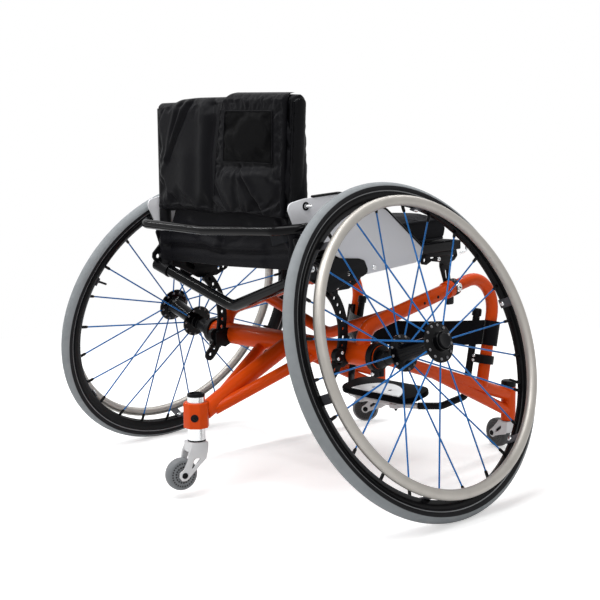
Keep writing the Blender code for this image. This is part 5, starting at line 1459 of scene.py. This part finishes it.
flap = swollen(pillow(72, 60, flap_point), flap_seam, pressure=3.5, growth=0.07, cap=0.0055)
creased(
    flap,
    [
        ([(-0.068, 0.606), (-0.097, 0.5626), (-0.126, 0.523)], 0.005, -0.007),
        ([(-0.082, 0.603), (-0.112, 0.5606), (-0.141, 0.523)], 0.008, 0.0045),
        ([(-0.155, 0.608), (-0.157, 0.585)], 0.003, -0.003),
        ([(-0.004, 0.612), (-0.022, 0.606), (-0.01, 0.59)], 0.003, -0.003),
        ([(-0.012, 0.64), (-0.002, 0.622)], 0.003, -0.0022),
        ([(-0.05, 0.735), (-0.055, 0.712)], 0.003, -0.0018),
        ([(-0.075, 0.736), (-0.077, 0.716)], 0.0035, -0.0016),
        ([(-0.098, 0.736), (-0.1, 0.712)], 0.003, -0.0018),
        ([(-0.125, 0.735), (-0.124, 0.714)], 0.0035, -0.0014),
        ([(-0.178, 0.7), (-0.175, 0.64), (-0.174, 0.56)], 0.005, -0.0022),
        ([(-0.166, 0.607), (-0.094, 0.6055), (-0.022, 0.608)], 0.0045, -0.005),
        ([(-0.15, 0.588), (-0.094, 0.59), (-0.035, 0.588)], 0.011, 0.0045),
    ],
)
back_flap = soft("back_rear_flap", flap, BACK_LEATHER, "backrest_cushion")


WING_Z = 0.6205


def wing_point(across, along, layer):
    """The glossy wing of the cover's end, which bulges out behind the right post."""
    x = -0.1985 + across * 0.008
    end = (1 - abs(along)) * 0.102
    reach = rounding((1 - abs(across)) * 0.008, 0.006) * rounding(end, 0.01)
    y = 0.156 + layer * 0.014 * reach - 0.004 * along
    return Vector((x - 0.002 * along, y, WING_Z + along * 0.1025))


wing = creased(
    pillow(14, 60, wing_point),
    [
        ([(-0.192, 0.7), (-0.207, 0.692)], 0.003, -0.0016),
        ([(-0.192, 0.676), (-0.207, 0.664)], 0.0035, -0.0018),
        ([(-0.192, 0.648), (-0.207, 0.64)], 0.003, -0.0016),
        ([(-0.192, 0.622), (-0.207, 0.609)], 0.0035, -0.002),
        ([(-0.192, 0.594), (-0.207, 0.586)], 0.003, -0.0016),
        ([(-0.192, 0.566), (-0.207, 0.553)], 0.0035, -0.0018),
    ],
)
right_wing = soft("back_pad_wing", wing, WING_LEATHER, "backrest_cushion")
wing_seam = [
    Vector((-0.2005 - 0.002 * step / 6, 0.17 - 0.003 * abs(step) / 6, WING_Z + 0.016 * step))
    for step in range(-6, 7)
]
settle("back_wing_piping", bar(wing_seam, 0.0015, 10), WING_LEATHER)


def skin_of(piece):
    """A tree for casting rays onto a finished piece."""
    return BVHTree.FromObject(piece, bpy.context.evaluated_depsgraph_get())


def landed(skin, x, z, proud):
    """The point of a piece's rear skin at X and Z, a little proud of it."""
    start = Vector((x, 0.4 + AXLE_Y, z))
    hit, normal, _, _ = skin.ray_cast(start, Vector((0, -1, 0)))
    return hit + normal * proud - Vector((0, AXLE_Y, 0))


def over_skin(skin, corners, proud, pitch=0.003):
    """A route over a piece's rear skin through corners given in X and Z."""
    route = []
    for start, end in zip(corners, corners[1:]):
        start, end = Vector(start), Vector(end)
        count = max(1, round((end - start).length / pitch))
        for number in range(count):
            spot = start.lerp(end, number / count)
            route.append(landed(skin, spot.x, spot.y, proud))
    route.append(landed(skin, *corners[-1], proud))
    return route


def stitching(route, pitch, length, radius):
    """Short thread dashes along a route."""
    dashes = []
    travelled, start = 0.0, None
    for before, after in zip(route, route[1:]):
        run = (after - before).length
        phase = travelled % pitch
        if phase < run and start is None:
            start = before
        if start is not None and (before - start).length >= length * 0.6:
            heading = (before - start).normalized()
            dashes.append(bar([start, start + heading * length], radius, 6))
            start = None
        travelled += run
    return gathered(*dashes)


flap_skin = skin_of(back_flap)
PATCH = [(-0.033, 0.7065), (-0.1625, 0.7015), (-0.1605, 0.6115), (-0.024, 0.616)]


def in_corners(corners, across, along):
    """A place between four corners, which go round from the upper right one."""
    right_top, left_top, left_bottom, right_bottom = [Vector(corner) for corner in corners]
    upper = left_top.lerp(right_top, (1 + across) / 2)
    lower = left_bottom.lerp(right_bottom, (1 + across) / 2)
    return lower.lerp(upper, (1 + along) / 2)


def patch_spot(across, along):
    """A place on the patch, whose corners are rounded a little."""
    corner = 0.05
    u, v = max(0.0, abs(across) - 1 + corner), max(0.0, abs(along) - 1 + corner)
    if u > 0 and v > 0:
        shrink = max(u, v) / math.hypot(u, v)
        across = math.copysign(1 - corner + u * shrink, across)
        along = math.copysign(1 - corner + v * shrink, along)
    return in_corners(PATCH, across, along)


def patch_point(across, along, layer):
    spot = patch_spot(across, along)
    return landed(flap_skin, spot.x, spot.y, 0.0002 if at_rim(across, along) else 0.001 * layer)


settle("back_plain_patch", pillow(40, 30, patch_point), PATCH_LEATHER, sharp=180)


def patch_ring(share, steps=120):
    """A closed line round the patch, at a share of its size."""
    ring = []
    for step in range(steps + 1):
        turn = 2 * math.pi * step / steps
        u, v = math.cos(turn), math.sin(turn)
        reach = share / max(abs(u), abs(v))
        spot = patch_spot(u * reach, v * reach)
        ring.append((spot.x, spot.y))
    return ring


piping_route = over_skin(flap_skin, patch_ring(1.0), 0.0008)[:-1]
settle("back_patch_piping", bar(piping_route, 0.0011, 8, closed=True), BACK_LEATHER)
patch_thread = stitching(over_skin(flap_skin, patch_ring(0.94), 0.0012, 0.001), 0.0042, 0.0026, 0.00028)
settle("back_patch_stitches", patch_thread, PATCH_LEATHER)
flap_edge = over_skin(flap_skin, [(x - 0.0045, z) for z, x in FLAP_LEFT[1:5]], 0.0002, 0.001)
settle("back_flap_stitches", stitching(flap_edge, 0.0045, 0.0028, 0.0003), PATCH_LEATHER)


# Cloth below the back
# A black nylon panel stretched between the back posts closes the gap below the pad. A square tape
# end is sewn on near its right edge, where the cloth is gathered.


def woven(name, slot, colour, rough, across, along, shine=0.05):
    """Cloth woven of threads that run along two directions of the piece."""
    cloth = Finish(name, slot, Specular_IOR_Level=shine)
    where = cloth.places()
    parts = dict(zip("xyz", cloth.split(where)))
    warp = (parts[across] * 7800).sine()
    weft = (parts[along] * 7800).sine()
    cloud = cloth.noise(where, 16.0, 4.0)
    lint = cloth.noise(where, 300.0, 2.0)
    lighter = tuple(2.2 * part for part in colour)
    return cloth.shade(
        Base_Color=cloth.mix(0.6 * cloud + 0.4 * lint, colour, lighter),
        Roughness=rough + 0.15 * cloud,
        Normal=cloth.bump(0.25 * warp * weft + 2.0 * cloud, 0.0006, 0.35),
    )


NYLON = woven("rear_nylon", "black_fabric", (0.003, 0.003, 0.004), 0.34, "x", "z")
TAPE = woven("sewn_tape", "black_fabric", (0.01, 0.0105, 0.012), 0.55, "x", "z")
CLOTH_BOTTOM = [(-0.204, 0.427), (-0.159, 0.4247), (-0.009, 0.4215), (0.18, 0.4231), (0.204, 0.43)]
CLOTH_TOP = [(-0.204, 0.528), (0.155, 0.53), (0.17, 0.499), (0.204, 0.488)]


def cloth_point(across, along, layer):
    """The panel, drawn forward round both posts at its ends."""
    x = across * 0.2045
    bottom = between(x, CLOTH_BOTTOM)
    top = between(x, CLOTH_TOP)
    z = bottom + (1 + along) / 2 * (top - bottom)
    skin = 0 if at_rim(across, along) else layer * 0.0008
    from_post = max(abs(x), 0.1795) - POST_X
    round_post = 0.013 * max(0.0, 1 - (from_post / 0.0125) ** 2) ** 0.5
    return Vector((x, 0.1545 + round_post + skin, z))


panel = creased(
    pillow(96, 32, cloth_point),
    [
        (
            [(0.184, 0.4538), (0.0549, 0.4534), (0.0143, 0.4478), (-0.1014, 0.4513), (-0.1666, 0.4547)],
            0.0055,
            -0.006,
        ),
        ([(0.184, 0.4625), (0.0549, 0.4625), (0.0143, 0.457), (-0.1014, 0.46)], 0.008, 0.0055),
        ([(0.0136, 0.474), (0.0182, 0.4527)], 0.0045, -0.0045),
        ([(0.026, 0.48), (0.024, 0.456)], 0.005, 0.002),
        ([(0.11, 0.5), (0.07, 0.47), (0.02, 0.456)], 0.0085, 0.0045),
        ([(-0.06, 0.496), (-0.03, 0.472), (0.01, 0.456)], 0.0085, -0.004),
        ([(0.18, 0.44), (0.06, 0.433), (-0.1, 0.437)], 0.0085, 0.004),
        ([(-0.15, 0.515), (-0.165, 0.49), (-0.182, 0.47)], 0.004, -0.003),
        ([(-0.165, 0.518), (-0.176, 0.5), (-0.186, 0.488)], 0.0035, 0.003),
        ([(-0.14, 0.51), (-0.152, 0.498), (-0.184, 0.452)], 0.004, 0.002),
    ],
    through=True,
)
rear_panel = soft("rear_panel_nylon", panel, NYLON, "rear_fabric")
panel_skin = skin_of(rear_panel)
TAPE_END = [(-0.1242, 0.4884), (-0.1709, 0.4973), (-0.1793, 0.4765), (-0.131, 0.4648)]


def tape_point(across, along, layer):
    spot = in_corners(TAPE_END, across, along)
    skin = 0 if at_rim(across, along) else 0.0006 * layer
    return landed(panel_skin, spot.x, spot.y, 0.0012 + skin)


tape_end = settle("rear_tape_end", pillow(12, 8, tape_point), TAPE, sharp=180)
hem_route = over_skin(panel_skin, [(0.18, 0.4275), (0.0, 0.4262), (-0.18, 0.429)], 0.0002, 0.001)
hem = settle("rear_panel_hem", stitching(hem_route, 0.0042, 0.0028, 0.0003), TAPE)


# Seat
# A sling of black webbing is stretched between the rails. On it lies a boxed foam cushion with a
# woven cover, whose top has two long stitched channels and a cross one.

SEAT_CLOTH = woven("seat_cloth", "black_fabric", (0.006, 0.006, 0.007), 0.6, "x", "y")
SEAT_MIDDLE = -0.0825
seat_frame = at(0, SEAT_MIDDLE, seat_z(SEAT_MIDDLE)) @ SEAT_TURN


def sling_point(across, along, layer):
    skin = 0 if at_rim(across, along) else layer * 0.0009
    droop = 0.001 * (1 - across**2)
    return seat_frame @ Vector((across * 0.1905, along * 0.2, 0.0012 - droop + skin))


sling = settle(
    "seat_sling_webbing", pillow(48, 40, sling_point), SEAT_CLOTH, stands_for=["seat_sling"], sharp=180
)


CUSHION_HALF_WIDTH, CUSHION_HALF_LENGTH = 0.1865, 0.184
cushion_frame = seat_frame @ at(y=0.017)


def cushion_point(across, along, layer):
    """The cushion: upright boxed sides with rounded rims, and a gentle crown."""
    x, y = across * CUSHION_HALF_WIDTH, along * CUSHION_HALF_LENGTH
    inset = min(CUSHION_HALF_WIDTH - abs(x), CUSHION_HALF_LENGTH - abs(y))
    reach = rounding(inset, 0.009)
    crown = 0.007 * (1 - across**2) * (1 - along**2)
    top = 0.0265 + 0.0225 * reach + crown
    base = 0.0265 - 0.022 * reach
    return cushion_frame @ Vector((x, y, top if layer > 0 else base))


def cushion_seam(point):
    spot = cushion_frame.inverted() @ point
    below = spot.z < 0.03 or abs(spot.x) > 0.18 or abs(spot.y) > 0.178
    return below or min(abs(abs(spot.x) - 0.062), abs(spot.y - 0.02)) < 0.0035


cushion = swollen(pillow(84, 84, cushion_point), cushion_seam, pressure=2.5, growth=0.05, cap=0.007)
seat_pad = soft("seat_cushion_cover", cushion, SEAT_CLOTH, "seat_cushion")
for name, height in (("upper", 0.046), ("lower", 0.008)):
    piping_route = bent(
        [
            cushion_frame @ Vector((x * 0.185, y * 0.1825, height))
            for x, y in ((0, 1), (1, 1), (1, -1), (-1, -1), (-1, 1), (0, 1))
        ],
        0.01,
        6,
    )
    settle("cushion_piping_" + name, bar(piping_route[:-1], 0.0016, 8, closed=True), TAPE)


# Calf strap
# A wide black strap is looped round both front legs of the frame, behind the lower legs, and sags
# a little at its middle.

STRAP_Z, STRAP_HALF = 0.259, 0.0255
strap_frame = at(0, loop_y(STRAP_Z), STRAP_Z) @ LEG_TURN


def strap_point(across, along, layer):
    x = across * 0.19125
    bow = 1 - across**2
    y = 0.0143 + 0.13 * bow + (0 if at_rim(across, along) else layer * 0.0013)
    return strap_frame @ Vector((x, y, along * STRAP_HALF - 0.03 * bow))


strap = pillow(64, 10, strap_point)
creased(
    strap,
    [
        ([(0.11, 0.27), (0.03, 0.226), (-0.06, 0.236)], 0.005, 0.0016),
        ([(-0.12, 0.262), (-0.04, 0.224), (0.05, 0.219)], 0.005, -0.0014),
        ([(0.165, 0.272), (0.12, 0.246)], 0.004, 0.0018),
        ([(-0.165, 0.272), (-0.125, 0.242)], 0.004, 0.0018),
    ],
    through=True,
)
eyes = []
for _, side in SIDES:
    loop = turned(mirrored([(0.0132, STRAP_HALF), (0.0158, STRAP_HALF)]), 40, ring=True)
    eyes.append(placed(loop, at(frame_point(side, 0, 0).x) @ strap_frame))
strap_band = settle("calf_strap_band", gathered(strap, *eyes), NYLON, stands_for=["calf_strap"])


# Studio
# A pale seamless floor that shows white and keeps the soft shadow, two softboxes and two narrow
# strips that draw lines along the gloss tubes, and the camera at the photograph's angle.

floor = bmesh.new()
bmesh.ops.create_grid(floor, x_segments=1, y_segments=1, size=2.0)
floor_mesh = bpy.data.meshes.new("studio_floor")
floor.to_mesh(floor_mesh)
floor.free()
BACKDROP_LIFT = 0.47
ROOM_LIGHT = 0.34


def seen(finish):
    """1 for what the camera sees, straight on or in metal and glass, and 0 for light."""
    ray = finish.add("LightPath", {}, {}).socket.node.outputs
    direct, mirrored, through = (
        Wire(finish, ray[f"Is {kind} Ray"]) for kind in ("Camera", "Glossy", "Transmission")
    )
    return direct.maths("MAXIMUM", direct, direct.maths("MAXIMUM", mirrored, through))


PALE = Finish("pale_floor", "", Base_Color=(0.86, 0.86, 0.86), Roughness=0.9, Specular_IOR_Level=0.0)
lift = PALE.add("Emission", {}, {"Strength": BACKDROP_LIFT * seen(PALE)})
both = PALE.add("AddShader", {}, {0: Wire(PALE, PALE.shader.outputs[0]), 1: lift})
PALE.links.new(both.socket, PALE.nodes["Material Output"].inputs["Surface"])
floor_mesh.materials.append(PALE.material)
studio_floor = bpy.data.objects.new("studio_floor", floor_mesh)
bpy.context.scene.collection.objects.link(studio_floor)


class Room(Finish):
    """The world's own nodes, fed as a finish's are."""

    def __init__(self, world):
        world.use_nodes = True
        self.nodes = world.node_tree.nodes
        self.links = world.node_tree.links
        self.shader = self.nodes["Background"]


world = bpy.data.worlds.new("studio")
bpy.context.scene.world = world
room = Room(world)
room.shade(Color=(1, 1, 1), Strength=ROOM_LIGHT + (1 - ROOM_LIGHT) * seen(room))


def softbox(name, place, size, power, aim=None):
    """An area light that looks at a point, or straight down."""
    lamp = bpy.data.lights.new(name, "AREA")
    lamp.shape = "RECTANGLE"
    lamp.size, lamp.size_y = size
    lamp.energy = power
    light = bpy.data.objects.new(name, lamp)
    light.location = place
    if aim:
        light.rotation_mode = "QUATERNION"
        light.rotation_quaternion = (Vector(aim) - Vector(place)).to_track_quat("-Z", "Y")
    bpy.context.scene.collection.objects.link(light)


softbox("overhead", (-0.3, 0.9, 2.3), (1.2, 1.2), 32, (0, 0, 0.35))
softbox("key", (-2.4, 1.0, 2.1), (0.8, 0.8), 7, (0, 0, 0.4))
softbox("cross_strip", (1.6, 1.1, 1.9), (2.2, 0.06), 24)
softbox("long_strip", (0.2, -1.0, 1.9), (0.05, 2.4), 16)

CAMERA_PLACE = (-1.6723, 1.4938 + AXLE_Y, 0.6145)
azimuth, elevation, roll = math.radians(227.7), math.radians(6.86), -0.0097
level = Vector((math.sin(azimuth), -math.cos(azimuth), 0)) * math.cos(elevation)
backward = level + Vector((0, 0, math.sin(elevation)))
right = Vector((0, 0, 1)).cross(backward).normalized()
upward = backward.cross(right)
right, upward = (
    right * math.cos(roll) + upward * math.sin(roll),
    upward * math.cos(roll) - right * math.sin(roll),
)
lens = bpy.data.cameras.new("camera")
lens.lens = 69.0
lens.sensor_width = 36.0
camera = bpy.data.objects.new("camera", lens)
camera.matrix_world = at(*CAMERA_PLACE) @ Matrix((right, upward, backward)).transposed().to_4x4()
bpy.context.scene.collection.objects.link(camera)
bpy.context.scene.camera = camera
bpy.context.scene.view_settings.view_transform = "Standard"
